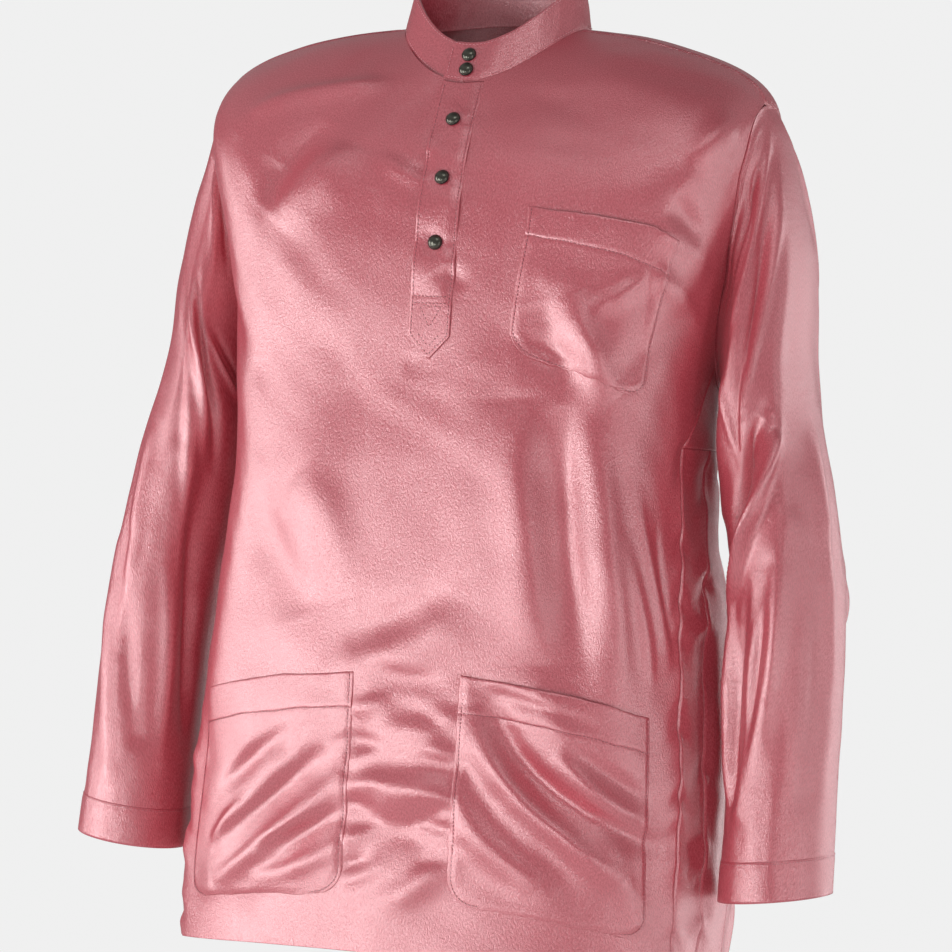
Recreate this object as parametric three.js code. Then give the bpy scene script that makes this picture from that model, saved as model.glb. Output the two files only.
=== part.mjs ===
import * as THREE from 'three';

// A baju melayu: long-sleeved pullover shirt with a stand collar, a studded front placket, side gores,
// underarm gussets, one chest pocket and two lower pockets. It keeps the form it has when worn.
// Millimetres. The front faces -Y, the wearer's left is +X, +Z is up. The origin lies midway between the
// two points where the shoulders meet the neck, which is where the shirt is held.

const CLOTH = 1.4;            // wall of one panel
const POCKET_CLOTH = 1.2;     // wall of a patch pocket or of the placket
const COLLAR_CLOTH = 2.0;     // two layers and a stiffener
const SEAM = 0.3;             // air left at every seam
const LAID = 0.4;             // air under a piece that lies on a panel
const POCKET_LAID = 0.9;      // air under a pocket, which bridges the folds of the front
const COLLAR_HEIGHT = 35;
const PLACKET_HALF = 17.5;
const STUD_RADIUS = 6;
const BODY_LENGTH = 760;      // neck edge to hem along the cloth, used to measure folds
const SLEEVE_LENGTH = 640;

// The worn form as rings from the hem (v = 0) to the neck (v = 1). Each ring has a half width, a depth
// before and behind its middle, the middle's y, and the height of its side, front and back. square
// flattens its front and back.
const RINGS = [
  // v, half, front, back, mid, zSide, zFront, zBack, square
  [0.00, 226, 144, 128, 0, -764, -748, -756, 0.04],
  [0.18, 219, 139, 122, 0, -636, -606, -622, 0.05],
  [0.35, 209, 134, 116, 0, -500, -474, -486, 0.06],
  [0.50, 196, 131, 112, 1, -366, -356, -358, 0.07],
  [0.61, 201, 130, 110, 3, -266, -280, -262, 0.07],
  [0.70, 216, 129, 109, 5, -170, -216, -190, 0.07],
  [0.78, 242, 127, 107, 6, -80, -164, -132, 0.06],
  [0.83, 230, 120, 101, 6, -42, -134, -88, 0.05],
  [0.92, 138, 100, 80, 2, -8, -92, -26, 0.03],
  [1.00, 78, 78, 58, 0, 0, -52, 12, 0.00],
];

// Where the seams beside the front, between the two gores and beside the back lie, in degrees round the
// body from the front centre.
const GORES = [
  // v, front seam, side seam, back seam
  [0.00, 63.5, 76.5, 92],
  [0.18, 64.5, 78, 94],
  [0.35, 67, 80, 98],
  [0.53, 72, 88, 106],
];
const GUSSET_FOOT = 0.53;     // the gusset stands on the gores here
const GUSSET_HORN = 0.605;    // its two upper corners
const ARM_UNDER = 0.585;      // the armhole's lowest and highest point
const ARM_TOP = 0.805;
const ARM_HALF = 20;          // half width of the armhole, in degrees
const SHOULDER_TIP = 81;      // the shoulder seam, which lies forward of the ridge
const SHOULDER_NECK = 75;

// The sleeve as rings from the armhole (t = 0) to the cuff's edge (t = 1): its outer and inner line, its
// middle's y and its half depth.
const SLEEVE = [
  // t, xOut, zOut, xIn, zIn, mid, depth
  [0.00, 238, -62, 201, -262, 28, 52],
  [0.05, 248, -80, 203, -274, 26, 62],
  [0.12, 258, -120, 205, -288, 22, 71],
  [0.22, 268, -190, 207, -309, 18, 77],
  [0.34, 273, -268, 209, -345, 14, 78],
  [0.48, 297, -360, 219, -410, 8, 74],
  [0.62, 314, -452, 230, -480, -2, 68],
  [0.76, 320, -540, 236, -560, -14, 62],
  [0.90, 322, -622, 236, -634, -24, 57],
  [0.955, 323, -652, 236, -663, -28, 55],
  [1.00, 324, -682, 236, -694, -32, 54],
];
const CUFF_HEM = 0.953;       // the turned-up hem starts here

// The largest folds of the body: a soft ridge (height > 0) or trough (height < 0) from one point to
// another, given in degrees round the body and in v, with its half width and height in mm.
const BODY_FOLDS = [
  // phi0, v0, phi1, v1, width, height
  [20, 0.56, 27, 0.31, 19, -3.4],
  [9, 0.60, 13, 0.33, 20, 2.4],
  [36, 0.52, 41, 0.30, 18, 3.0],
  [-20, 0.58, -24, 0.32, 24, 2.6],
  [-37, 0.50, -34, 0.30, 20, -2.8],
  [16, 0.25, 42, 0.02, 15, -3.4],
  [27, 0.27, 52, 0.07, 14, 3.4],
  [-44, 0.06, -18, 0.24, 14, 3.2],
  [-30, 0.03, -8, 0.19, 15, -3.2],
  [3, 0.22, -3, 0.00, 18, 3.6],
  [-66, 0.30, -60, 0.00, 22, 4.4],
  [62, 0.28, 66, 0.00, 20, 4.4],
  [68, 0.66, 40, 0.60, 15, -3.0],
  [-68, 0.66, -42, 0.59, 16, -3.2],
  [86, 0.50, 80, 0.22, 17, -3.4],
  [-84, 0.50, -86, 0.20, 18, -3.8],
  [118, 0.60, 140, 0.32, 22, 4.2],
  [-120, 0.58, -146, 0.34, 24, 4.4],
  [133, 0.52, 150, 0.20, 22, -4.2],
  [-136, 0.50, -158, 0.16, 20, -4.6],
  [168, 0.56, 174, 0.14, 24, 4.0],
  [192, 0.40, 186, 0.00, 22, -4.4],
  [150, 0.20, 146, 0.00, 24, 5.0],
  [-112, 0.24, -108, 0.00, 22, 4.6],
  [128, 0.76, 166, 0.70, 20, -3.0],
  [-130, 0.76, -168, 0.69, 22, -2.6],
];

// The largest folds of a sleeve, in degrees round it (0 outside, 90 front, 180 under) and in t.
const SLEEVE_FOLDS = {
  left: [
    // theta0, t0, theta1, t1, width, height
    [60, 0.10, 128, 0.52, 15, -5.0],
    [84, 0.10, 150, 0.44, 13, 4.2],
    [34, 0.14, 66, 0.50, 15, 4.0],
    [62, 0.52, 118, 0.88, 13, 5.0],
    [84, 0.56, 134, 0.86, 12, -4.6],
    [24, 0.56, 44, 0.86, 15, -4.0],
    [-30, 0.20, -64, 0.50, 16, 4.2],
    [-66, 0.24, -118, 0.54, 15, -4.8],
    [-34, 0.58, -88, 0.70, 13, 4.2],
    [-50, 0.66, -120, 0.88, 14, -4.2],
    [196, 0.40, 178, 0.66, 14, -4.4],
    [168, 0.70, 186, 0.92, 14, 3.6],
  ],
  right: [
    [52, 0.08, 104, 0.40, 14, -5.2],
    [78, 0.10, 128, 0.44, 13, 4.4],
    [30, 0.16, 52, 0.56, 15, 3.8],
    [118, 0.28, 158, 0.60, 14, -5.0],
    [70, 0.58, 112, 0.84, 13, -4.4],
    [48, 0.60, 84, 0.90, 14, 4.2],
    [-26, 0.22, -70, 0.46, 16, -4.4],
    [-56, 0.18, -110, 0.48, 14, 4.4],
    [-28, 0.54, -80, 0.66, 12, -4.4],
    [-60, 0.62, -130, 0.84, 15, 4.4],
    [186, 0.36, 200, 0.64, 14, 4.2],
    [20, 0.70, 28, 0.94, 15, -3.6],
  ],
};

// Stations. Two panels that share a seam share the stations along it.
const V = [
  0, 0.03, 0.06, 0.09, 0.12, 0.15, 0.18, 0.215, 0.25, 0.285, 0.32, 0.355, 0.39, 0.425, 0.46, 0.495, 0.53,
  0.555, 0.58, 0.605, 0.63, 0.655, 0.68, 0.705, 0.73, 0.755, 0.775, 0.79, 0.8, 0.805,
  0.83, 0.86, 0.89, 0.92, 0.95, 0.975, 1,
];
const SLIT_FOOT = 0.68;       // the front opening runs from here to the neck, under the placket
const FRONT_PHI = [0, 5, 9.75, 14.5, 19, 23.5, 28, 32.5, 37, 41.5, 46, 50, 54];
const T = [
  0, 0.03, 0.06, 0.1, 0.14, 0.19, 0.24, 0.29, 0.34, 0.39, 0.44, 0.5, 0.56, 0.62, 0.68, 0.74, 0.8, 0.86,
  0.91, 0.95, 0.956, 1,
];

const vec = (x, y, z) => new THREE.Vector3(x, y, z);
const rad = THREE.MathUtils.degToRad;
const lerp = THREE.MathUtils.lerp;
const smooth = (x, a, b) => THREE.MathUtils.smoothstep(x, a, b);

// A smooth curve through a table's rows, whose first column is the knot.
function spline(table, x) {
  const n = table.length;
  let i = 0;
  while (i < n - 2 && x >= table[i + 1][0]) i += 1;
  const slope = (k, c) => {
    const a = table[Math.max(k - 1, 0)];
    const b = table[Math.min(k + 1, n - 1)];
    return (b[c] - a[c]) / (b[0] - a[0]);
  };
  const h = table[i + 1][0] - table[i][0];
  const s = (x - table[i][0]) / h;
  const s2 = s * s;
  const s3 = s2 * s;
  return table[0].slice(1).map((_, k) => {
    const c = k + 1;
    return (2 * s3 - 3 * s2 + 1) * table[i][c] + (s3 - 2 * s2 + s) * h * slope(i, c)
      + (3 * s2 - 2 * s3) * table[i + 1][c] + (s3 - s2) * h * slope(i + 1, c);
  });
}

// The rings' curve at close stations, softened so that no ring shows as an edge.
function soften(table, steps, passes) {
  let rows = Array.from({ length: steps + 1 }, (_, k) => spline(table, k / steps));
  for (let pass = 0; pass < passes; pass += 1) {
    const last = rows;
    rows = last.map((row, k) => (k === 0 || k === steps ? row
      : row.map((x, c) => (last[k - 1][c] + 2 * x + last[k + 1][c]) / 4)));
  }
  return rows;
}
const SOFT_STEPS = 120;
const SOFT_RINGS = soften(RINGS, SOFT_STEPS, 14);
function ring(v) {
  const at = THREE.MathUtils.clamp(v, 0, 1) * SOFT_STEPS;
  const i = Math.min(Math.floor(at), SOFT_STEPS - 1);
  const s = at - i;
  const s2 = s * s;
  const row = (k) => SOFT_RINGS[THREE.MathUtils.clamp(k, 0, SOFT_STEPS)];
  return row(i).map((x, c) => {
    const [a, b, d] = [row(i - 1)[c], row(i + 1)[c], row(i + 2)[c]];
    return x + (b - a) * s / 2 + (2 * a - 5 * x + 4 * b - d) * s2 / 2 + (3 * (x - b) + d - a) * s2 * s / 2;
  });
}

// A point of the smooth body form.
function form(phi, v) {
  const [half, front, back, mid, zSide, zFront, zBack, square] = ring(v);
  const c = Math.cos(rad(phi));
  const s = Math.sin(rad(phi));
  const sx = (s + square * Math.sin(3 * rad(phi))) / (1 - square);
  const cy = (c - square * Math.cos(3 * rad(phi))) / (1 - square);
  const depth = c > 0 ? front : back;
  return vec(half * sx, mid - depth * cy, zSide + ((c > 0 ? zFront : zBack) - zSide) * c * c);
}

function normalOf(at, a, b, da, db) {
  const u = at(a + da, b).sub(at(a - da, b));
  const w = at(a, b + db).sub(at(a, b - db));
  return u.cross(w).normalize();
}

const bodyNormal = (phi, v) => normalOf(form, phi, v, 0.5, 0.002);

// Height of the folds at a point, where x runs round the piece and z along it, both in mm.
function foldHeight(folds, x, z, perTurn, length, turn) {
  let height = 0;
  for (const [a0, b0, a1, b1, width, tall] of folds) {
    const ex = (a1 - a0) * perTurn;
    const ez = (b1 - b0) * length;
    let px = x - a0;
    px -= turn * Math.round((px - (a1 - a0) / 2) / turn);
    px *= perTurn;
    const pz = (z - b0) * length;
    const s = THREE.MathUtils.clamp((px * ex + pz * ez) / (ex * ex + ez * ez), 0, 1);
    const d2 = (px - s * ex) ** 2 + (pz - s * ez) ** 2;
    const taper = 0.35 + 0.65 * Math.sin(Math.PI * THREE.MathUtils.clamp(s, 0.12, 0.88));
    height += tall * taper * Math.exp(-d2 / (width * width));
  }
  return height;
}

// The body's outer surface with its folds, and a point lifted off it along the normal.
function body(phi, v, lift = 0) {
  const fold = foldHeight(BODY_FOLDS, phi, v, 3.3, BODY_LENGTH, 360) * smooth(1 - v, 0.02, 0.2);
  const n = bodyNormal(phi, v);
  return { p: form(phi, v).addScaledVector(n, fold + lift), n };
}

const armHalf = (v) => {
  const tau = (v - (ARM_UNDER + ARM_TOP) / 2) / ((ARM_TOP - ARM_UNDER) / 2);
  return ARM_HALF * Math.max(1 - tau * tau, 0) ** 0.42;
};
const armMid = (v) => lerp(100, SHOULDER_TIP, smooth(v, 0.66, ARM_TOP));

// A panel's edge in degrees: sign -1 beside the front, +1 beside the back.
function seamPhi(v, sign) {
  if (v > ARM_TOP) return lerp(SHOULDER_TIP, SHOULDER_NECK, (v - ARM_TOP) / (1 - ARM_TOP));
  if (v >= GUSSET_HORN) return armMid(v) + sign * armHalf(v);
  const [front, , back] = spline(GORES, Math.min(v, GUSSET_FOOT));
  const low = sign < 0 ? front : back;
  const horn = armMid(GUSSET_HORN) + sign * armHalf(GUSSET_HORN);
  return lerp(low, horn, Math.max(v - GUSSET_FOOT, 0) / (GUSSET_HORN - GUSSET_FOOT));
}

// The armhole: 0 at the shoulder, 90 at the front, 180 under the arm.
function armhole(theta) {
  const c = Math.cos(rad(theta));
  const v = (ARM_UNDER + ARM_TOP) / 2 + (ARM_TOP - ARM_UNDER) / 2 * c;
  const sign = Math.sin(rad(theta)) >= 0 ? -1 : 1;
  return [armMid(v) + sign * armHalf(v), v];
}
const armTheta = (v) => THREE.MathUtils.radToDeg(
  Math.acos((v - (ARM_UNDER + ARM_TOP) / 2) / ((ARM_TOP - ARM_UNDER) / 2)));

// One wall from a grid of points. point(i, j) gives an outer point, its outward direction and the wall.
// The edges draw back by half a seam. A slit parts the grid along one column, from one row upwards.
function wall(rows, cols, point, { around = false, slit = null, inset = SEAM / 2 } = {}) {
  const ids = new Map();
  const outer = [];
  const add = (key, i, j) => {
    if (!ids.has(key)) {
      ids.set(key, outer.length);
      const q = point(i, j);
      outer.push({ p: q.p.clone(), n: q.n.clone(), t: q.t });
    }
    return ids.get(key);
  };
  const id = (i, j, side) => {
    const col = around ? j % cols : j;
    const parted = slit && col === slit.col && i > slit.row;
    return add(`${i},${col},${parted ? side : ''}`, i, col);
  };
  const faces = [];
  for (let i = 0; i < rows; i += 1) {
    for (let j = 0; j < cols; j += 1) {
      const a = id(i, j, 'R');
      const b = id(i, j + 1, 'L');
      const c = id(i + 1, j + 1, 'L');
      const d = id(i + 1, j, 'R');
      const first = outer[a].p.distanceTo(outer[c].p) <= outer[b].p.distanceTo(outer[d].p);
      if (first) faces.push([a, b, c], [a, c, d]);
      else faces.push([a, b, d], [b, c, d]);
    }
  }
  const [a, b, c] = faces[0].map((k) => outer[k]);
  const facing = b.p.clone().sub(a.p).cross(c.p.clone().sub(a.p)).dot(a.n);
  if (facing < 0) faces.forEach((f) => f.reverse());

  const edges = new Set();
  faces.forEach((f) => f.forEach((k, m) => edges.add(`${k}>${f[(m + 1) % 3]}`)));
  const next = new Map();
  const before = new Map();
  for (const edge of edges) {
    const [k, m] = edge.split('>').map(Number);
    if (!edges.has(`${m}>${k}`)) {
      next.set(k, m);
      before.set(m, k);
    }
  }
  const shift = new Map();
  for (const [k, m] of next) {
    const o = outer[k];
    const inward = (from, to) => o.n.clone().cross(to.p.clone().sub(from.p)).normalize();
    const n1 = inward(outer[before.get(k)], o);
    const n2 = inward(o, outer[m]);
    const spread = 1 + n1.dot(n2);
    if (spread > 0.3) shift.set(k, n1.add(n2).multiplyScalar(inset / spread));
  }
  shift.forEach((s, k) => outer[k].p.add(s));

  const count = outer.length;
  const positions = new Float32Array(count * 6);
  outer.forEach((o, k) => {
    o.p.toArray(positions, k * 3);
    o.p.clone().addScaledVector(o.n, -o.t).toArray(positions, (count + k) * 3);
  });
  const index = [];
  faces.forEach(([x, y, z]) => index.push(x, y, z, count + x, count + z, count + y));
  for (const [k, m] of next) index.push(m, k, count + k, m, count + k, count + m);
  const geometry = new THREE.BufferGeometry();
  geometry.setAttribute('position', new THREE.BufferAttribute(positions, 3));
  geometry.setIndex(index);
  geometry.computeVertexNormals();
  return geometry;
}

const shirt = new THREE.Group();
const satin = (shade) => new THREE.MeshStandardMaterial({
  color: new THREE.Color(0xce7c86).multiplyScalar(shade), roughness: 0.45, metalness: 0.05,
});
function piece(name, geometry, material) {
  const mesh = new THREE.Mesh(geometry, material);
  mesh.name = name;
  shirt.add(mesh);
  return mesh;
}

// Front and back. The front is parted at its centre from the neck down to the slit's foot. The back wraps
// over each shoulder to the seam that lies forward of it.
{
  const half = [...FRONT_PHI.map((phi) => () => phi),
    (v) => lerp(54, seamPhi(v, -1), 0.5), (v) => seamPhi(v, -1)];
  const cols = [...half.slice(1).reverse().map((f) => (v) => -f(v)), ...half];
  const front = wall(V.length - 1, cols.length - 1,
    (i, j) => ({ ...body(cols[j](V[i]), V[i]), t: CLOTH }),
    { slit: { col: half.length - 1, row: V.indexOf(SLIT_FOOT) } });
  piece('body_front', front, satin(1));
}
{
  const cols = 26;
  const back = wall(V.length - 1, cols, (i, j) => {
    const edge = seamPhi(V[i], V[i] > ARM_TOP ? -1 : 1);
    return { ...body(lerp(edge, 360 - edge, j / cols), V[i]), t: CLOTH };
  });
  piece('body_back', back, satin(0.98));
}

// Side gores: a front and a back one on each side, from the hem to the gusset.
const foot = V.indexOf(GUSSET_FOOT);
const horn = V.indexOf(GUSSET_HORN);
for (const [side, s] of [['left', 1], ['right', -1]]) {
  for (const [face, from, to] of [['front', 0, 1], ['back', 1, 2]]) {
    const gore = wall(foot, 2, (i, j) => {
      const seams = spline(GORES, V[i]);
      return { ...body(s * lerp(seams[from], seams[to], j / 2), V[i]), t: CLOTH };
    });
    piece(`gore_${face}_${side}`, gore, satin(0.97));
  }
}

// Underarm gussets: the foot lies on the two gores, the top is the lowest stretch of the armhole.
const GUSSET_COLS = 4;
const gussetTheta = (j) => lerp(armTheta(GUSSET_HORN), 360 - armTheta(GUSSET_HORN), j / GUSSET_COLS);
for (const [side, s] of [['left', 1], ['right', -1]]) {
  const gusset = wall(horn - foot, GUSSET_COLS, (i, j) => {
    const [front, middle, back] = spline(GORES, GUSSET_FOOT);
    const low = j < 2 ? lerp(front, middle, j / 2) : lerp(middle, back, (j - 2) / 2);
    const [phi, v] = armhole(gussetTheta(j));
    const w = (V[foot + i] - GUSSET_FOOT) / (GUSSET_HORN - GUSSET_FOOT);
    return { ...body(s * lerp(low, phi, w), lerp(GUSSET_FOOT, v, w)), t: CLOTH };
  });
  piece(`gusset_${side}`, gusset, satin(0.94));
}

// Sleeves: tubes open at both ends, set on the armhole, with a turned-up hem at the cuff.
function sleeveForm(theta, t) {
  const [xOut, zOut, xIn, zIn, mid, depth] = spline(SLEEVE, t);
  const c = Math.cos(rad(theta));
  const s = Math.sin(rad(theta));
  const tube = vec((xOut + xIn) / 2 + (xOut - xIn) / 2 * c, mid - depth * s,
    (zOut + zIn) / 2 + (zOut - zIn) / 2 * c);
  const [phi, v] = armhole(theta);
  return body(phi, v).p.lerp(tube, smooth(t, 0, 0.2));
}
function sleeve(theta, t, folds, lift = 0) {
  const base = sleeveForm(theta, t);
  const ahead = sleeveForm(theta, Math.min(t + 0.004, 1)).sub(sleeveForm(theta, Math.max(t - 0.004, 0)));
  const n = sleeveForm(theta + 1, t).sub(sleeveForm(theta - 1, t)).cross(ahead).normalize();
  const crown = smooth(Math.cos(rad(theta)), 0.1, 0.5) * (1 - smooth(t, 0, 0.12));
  const [phi, v] = armhole(theta);
  const lean = n.clone().multiplyScalar(1 - crown).addScaledVector(bodyNormal(phi, v), crown).normalize();
  const fold = foldHeight(folds, theta, t, 1.15, SLEEVE_LENGTH, 360) * smooth(t, 0.01, 0.1)
    * (1 - 0.6 * smooth(t, 0.88, 1));
  return { p: base.addScaledVector(n, fold + lift), n: lean };
}
{
  const upper = V.filter((v) => v >= GUSSET_HORN && v < ARM_TOP).reverse();
  const rings = [0, ...upper.map(armTheta)];
  for (let j = 1; j < GUSSET_COLS; j += 1) rings.push(gussetTheta(j));
  rings.push(...upper.map((v) => 360 - armTheta(v)).reverse());
  for (const [side, s] of [['left', 1], ['right', -1]]) {
    const tube = wall(T.length - 1, rings.length, (i, j) => {
      const hem = T[i] > CUFF_HEM ? 0.6 : 0;
      const { p, n } = sleeve(rings[j], T[i], SLEEVE_FOLDS[side], hem);
      return { p: vec(s * p.x, p.y, p.z), n: vec(s * n.x, n.y, n.z), t: CLOTH + hem };
    }, { around: true, inset: 0.25 });
    piece(`sleeve_${side}`, tube, satin(0.96));
  }
}

// Collar: one band that stands on the neck edge. Its left end laps over its right end at the front.
// turn runs from the covered end (+14) round the wearer's right, the back and the left to -374.
const COLLAR_END = -374;
function collar(turn, height, lift = 0) {
  const edge = form(turn, 1);
  const c = Math.cos(rad(turn));
  const s = Math.sin(rad(turn));
  const rise = vec(-0.20 * s, 0.30 * Math.max(c, 0) + 0.10 * c, 1).normalize();
  const along = form(turn + 1, 1).sub(form(turn - 1, 1));
  const n = along.cross(rise).normalize();
  const under = -(COLLAR_CLOTH + 0.5) * smooth(turn, -64, -16);
  return { p: edge.addScaledVector(rise, SEAM + height).addScaledVector(n, under + lift), n };
}
{
  const turns = [14, 7, 0, -7, -14];
  for (let k = 1; k <= 34; k += 1) turns.push(lerp(-14, -354, k / 34));
  turns.push(-360, -364, -367.5, -370.5, -372.7, COLLAR_END);
  const round = 9;            // radius of the lapping end's top corner
  const band = wall(3, turns.length - 1, (i, j) => {
    const fromEnd = Math.max(round - (turns[j] - COLLAR_END) * 1.36, 0);
    const top = COLLAR_HEIGHT - round + Math.sqrt(Math.max(round * round - fromEnd * fromEnd, 1));
    return { ...collar(turns[j], lerp(0, top, i / 3)), t: COLLAR_CLOTH };
  }, { inset: 0.05 });
  piece('collar', band, satin(1));
}

// Placket: a strip down the front centre with a pointed foot, laid on the front.
const acrossFront = (mm, v) => mm / (form(0.5, v).distanceTo(form(-0.5, v)));
{
  const rows = [
    // v, share of the half width
    [0.612, 0.05], [0.624, 0.52], [0.637, 1],
    ...[0.655, 0.68, 0.705, 0.73, 0.755, 0.78, 0.805, 0.83, 0.86, 0.89, 0.92, 0.95, 0.975, 0.995]
      .map((v) => [v, 1]),
  ];
  const strip = wall(rows.length - 1, 4, (i, j) => {
    const [v, share] = rows[i];
    const phi = acrossFront(PLACKET_HALF * share * (j / 2 - 1), v);
    return { ...body(phi, v, LAID + POCKET_CLOTH), t: POCKET_CLOTH };
  }, { inset: 0 });
  piece('placket', strip, satin(1.02));
}

// Patch pockets: laid on the front from its own points, open at the top, where they stand off a little.
function pocket(name, { phis, top, bottom, corner, band, gape }) {
  const [phi0, phi1] = [phis[0], phis[phis.length - 1]];
  const vTop = (phi) => lerp(top[0], top[1], (phi - phi0) / (phi1 - phi0));
  const vLow = (phi) => lerp(bottom[0], bottom[1], (phi - phi0) / (phi1 - phi0));
  const mid = (phi0 + phi1) / 2;
  const height = form(mid, vTop(mid)).distanceTo(form(mid, vLow(mid)));
  const rows = [];
  for (let k = 0; k <= 4; k += 1) {
    const turn = Math.PI / 2 * k / 4;
    rows.push([corner * (1 - Math.cos(turn)), corner * (1 - Math.sin(turn))]);
  }
  const steps = Math.round((height - band - corner) / 21);
  for (let k = 1; k <= steps; k += 1) rows.push([lerp(corner, height - band, k / steps), 0]);
  rows.push([height - band + 1.2, 0], [height, 0]);
  const grid = wall(rows.length - 1, phis.length - 1, (i, j) => {
    const [up, inset] = rows[i];
    const b = up / height;
    const v0 = lerp(vLow(phis[j]), vTop(phis[j]), b);
    const perDegree = form(phis[j] + 0.5, v0).distanceTo(form(phis[j] - 0.5, v0));
    const squeeze = inset / perDegree;
    const a = (phis[j] - phi0) / (phi1 - phi0);
    const phi = lerp(phi0 + squeeze * Math.sign(phi1 - phi0), phi1 - squeeze * Math.sign(phi1 - phi0), a);
    const v = lerp(vLow(phi), vTop(phi), b);
    const open = gape * Math.sin(Math.PI * a) ** 2 * smooth(b, 0.55, 1);
    const hem = up > height - band + 0.6 ? 0.6 : 0;
    return { ...body(phi, v, POCKET_LAID + open + POCKET_CLOTH + hem), t: POCKET_CLOTH + hem };
  }, { inset: 0 });
  return piece(name, grid, satin(1.01));
}
const lowerPhis = FRONT_PHI.filter((phi) => phi > 9);
pocket('pocket_chest', {
  phis: FRONT_PHI.filter((phi) => phi > 14 && phi <= 50), top: [0.786, 0.713], bottom: [0.622, 0.568],
  corner: 22, band: 26, gape: 1.6,
});
pocket('pocket_lower_left', {
  phis: lowerPhis, top: [0.284, 0.276], bottom: [0.056, 0.047], corner: 20, band: 28, gape: 2.6,
});
pocket('pocket_lower_right', {
  phis: lowerPhis.map((phi) => -phi), top: [0.280, 0.272], bottom: [0.055, 0.045], corner: 20, band: 28,
  gape: 1.8,
});

// Studs: five domes with a thin rim. Two sit on the collar's lapping end and three on the placket.
const STUD_PROFILE = [
  // radius, height
  [0, 0], [5.1, 0], [6, 0.5], [6, 1.2], [5.2, 1.7], [4.6, 2.7], [3.2, 3.5], [1.6, 4.0], [0, 4.1],
];
const dome = new THREE.LatheGeometry(
  STUD_PROFILE.map(([r, h]) => new THREE.Vector2(r * STUD_RADIUS / 6, h)), 14);
const gunmetal = () => new THREE.MeshStandardMaterial({ color: 0x4c5450, roughness: 0.3, metalness: 0.9 });
const studs = [
  { ...collar(-360, 23, 0.3) },
  { ...collar(-360, 9.6, 0.3) },
  ...[0.93, 0.83, 0.745].map((v) => body(0, v, LAID + POCKET_CLOTH + 0.3)),
];
studs.forEach(({ p, n }, k) => {
  const stud = piece(`stud_${k + 1}`, dome.clone(), gunmetal());
  stud.position.copy(p);
  stud.quaternion.setFromUnitVectors(vec(0, 1, 0), n);
});

export default shirt;
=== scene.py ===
"""A baju melayu: a satin pullover shirt that keeps the form it has when worn.

Sizes here are millimetres until a mesh is made. The front faces -Y, the wearer's left is +X, +Z is up.
"""
import math
from types import SimpleNamespace

import bpy
import numpy as np
from mathutils import Matrix, Vector


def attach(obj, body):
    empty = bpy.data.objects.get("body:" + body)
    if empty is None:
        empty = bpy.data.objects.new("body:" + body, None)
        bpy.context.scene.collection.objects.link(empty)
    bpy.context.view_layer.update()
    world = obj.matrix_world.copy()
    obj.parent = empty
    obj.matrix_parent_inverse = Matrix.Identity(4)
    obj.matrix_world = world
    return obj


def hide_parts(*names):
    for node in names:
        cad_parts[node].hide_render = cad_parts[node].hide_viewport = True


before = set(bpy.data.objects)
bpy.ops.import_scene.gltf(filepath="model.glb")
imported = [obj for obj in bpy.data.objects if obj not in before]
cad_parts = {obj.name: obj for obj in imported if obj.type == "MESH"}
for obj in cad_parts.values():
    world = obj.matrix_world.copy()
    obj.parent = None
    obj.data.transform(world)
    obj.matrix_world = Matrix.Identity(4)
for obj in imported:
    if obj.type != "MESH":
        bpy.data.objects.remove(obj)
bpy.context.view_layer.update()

CLOTH, POCKET_CLOTH, COLLAR_CLOTH = 1.2, 1.1, 1.9    # how thick each wall is
SEAM = 0.3                    # the collar's foot stands this far above the neck edge
LAID = 0.45                   # the placket lies this far off the front panel
SLIT_HALF = 0.3               # half the gap of the slit down the front
COLLAR_HEIGHT, PLACKET_HALF = 35, 17.5
BODY_LENGTH, SLEEVE_LENGTH = 760, 640                # what v and t from 0 to 1 stand for
PER_DEGREE, SLEEVE_PER_DEGREE = 3.3, 1.15            # mm along the cloth for a degree round it
SIDES = (("left", 1), ("right", -1))
STEP = 3.4                    # the mesh's usual spacing

RINGS = [
    # v, half, front, back, mid, zSide, zFront, zBack, square
    (0.00, 226, 144, 128, 0, -764, -748, -756, 0.04),
    (0.18, 219, 139, 122, 0, -636, -606, -622, 0.05),
    (0.35, 209, 134, 116, 0, -500, -474, -486, 0.06),
    (0.50, 196, 131, 112, 1, -366, -356, -358, 0.07),
    (0.61, 201, 130, 110, 3, -266, -280, -262, 0.07),
    (0.70, 216, 129, 109, 5, -170, -216, -190, 0.07),
    (0.78, 242, 127, 107, 6, -80, -164, -132, 0.06),
    (0.83, 230, 120, 101, 6, -42, -134, -88, 0.05),
    (0.92, 138, 100, 80, 2, -8, -92, -26, 0.03),
    (1.00, 78, 78, 58, 0, 0, -52, 12, 0.00),
]
GORES = [
    # v, front seam, side seam, back seam
    (0.00, 63.5, 76.5, 92),
    (0.18, 64.5, 78, 94),
    (0.35, 67, 80, 98),
    (0.53, 72, 88, 106),
]
GUSSET_FOOT, GUSSET_HORN, GUSSET_LENGTH = 0.53, 0.605, 60
ARM_UNDER, ARM_TOP, ARM_HALF = 0.585, 0.805, 20
SHOULDER_TIP, SHOULDER_NECK = 81, 75
SLEEVE = [
    # t, xOut, zOut, xIn, zIn, mid, depth
    (0.00, 238, -62, 201, -262, 28, 52),
    (0.05, 248, -80, 203, -274, 26, 62),
    (0.12, 258, -120, 205, -288, 22, 71),
    (0.22, 268, -190, 207, -309, 18, 77),
    (0.34, 273, -268, 209, -345, 14, 78),
    (0.48, 297, -360, 219, -410, 8, 74),
    (0.62, 314, -452, 230, -480, -2, 68),
    (0.76, 320, -540, 236, -560, -14, 62),
    (0.90, 322, -622, 236, -634, -24, 57),
    (0.955, 323, -652, 236, -663, -28, 55),
    (1.00, 324, -682, 236, -694, -32, 54),
]
CUFF_HEM = 0.953
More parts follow.
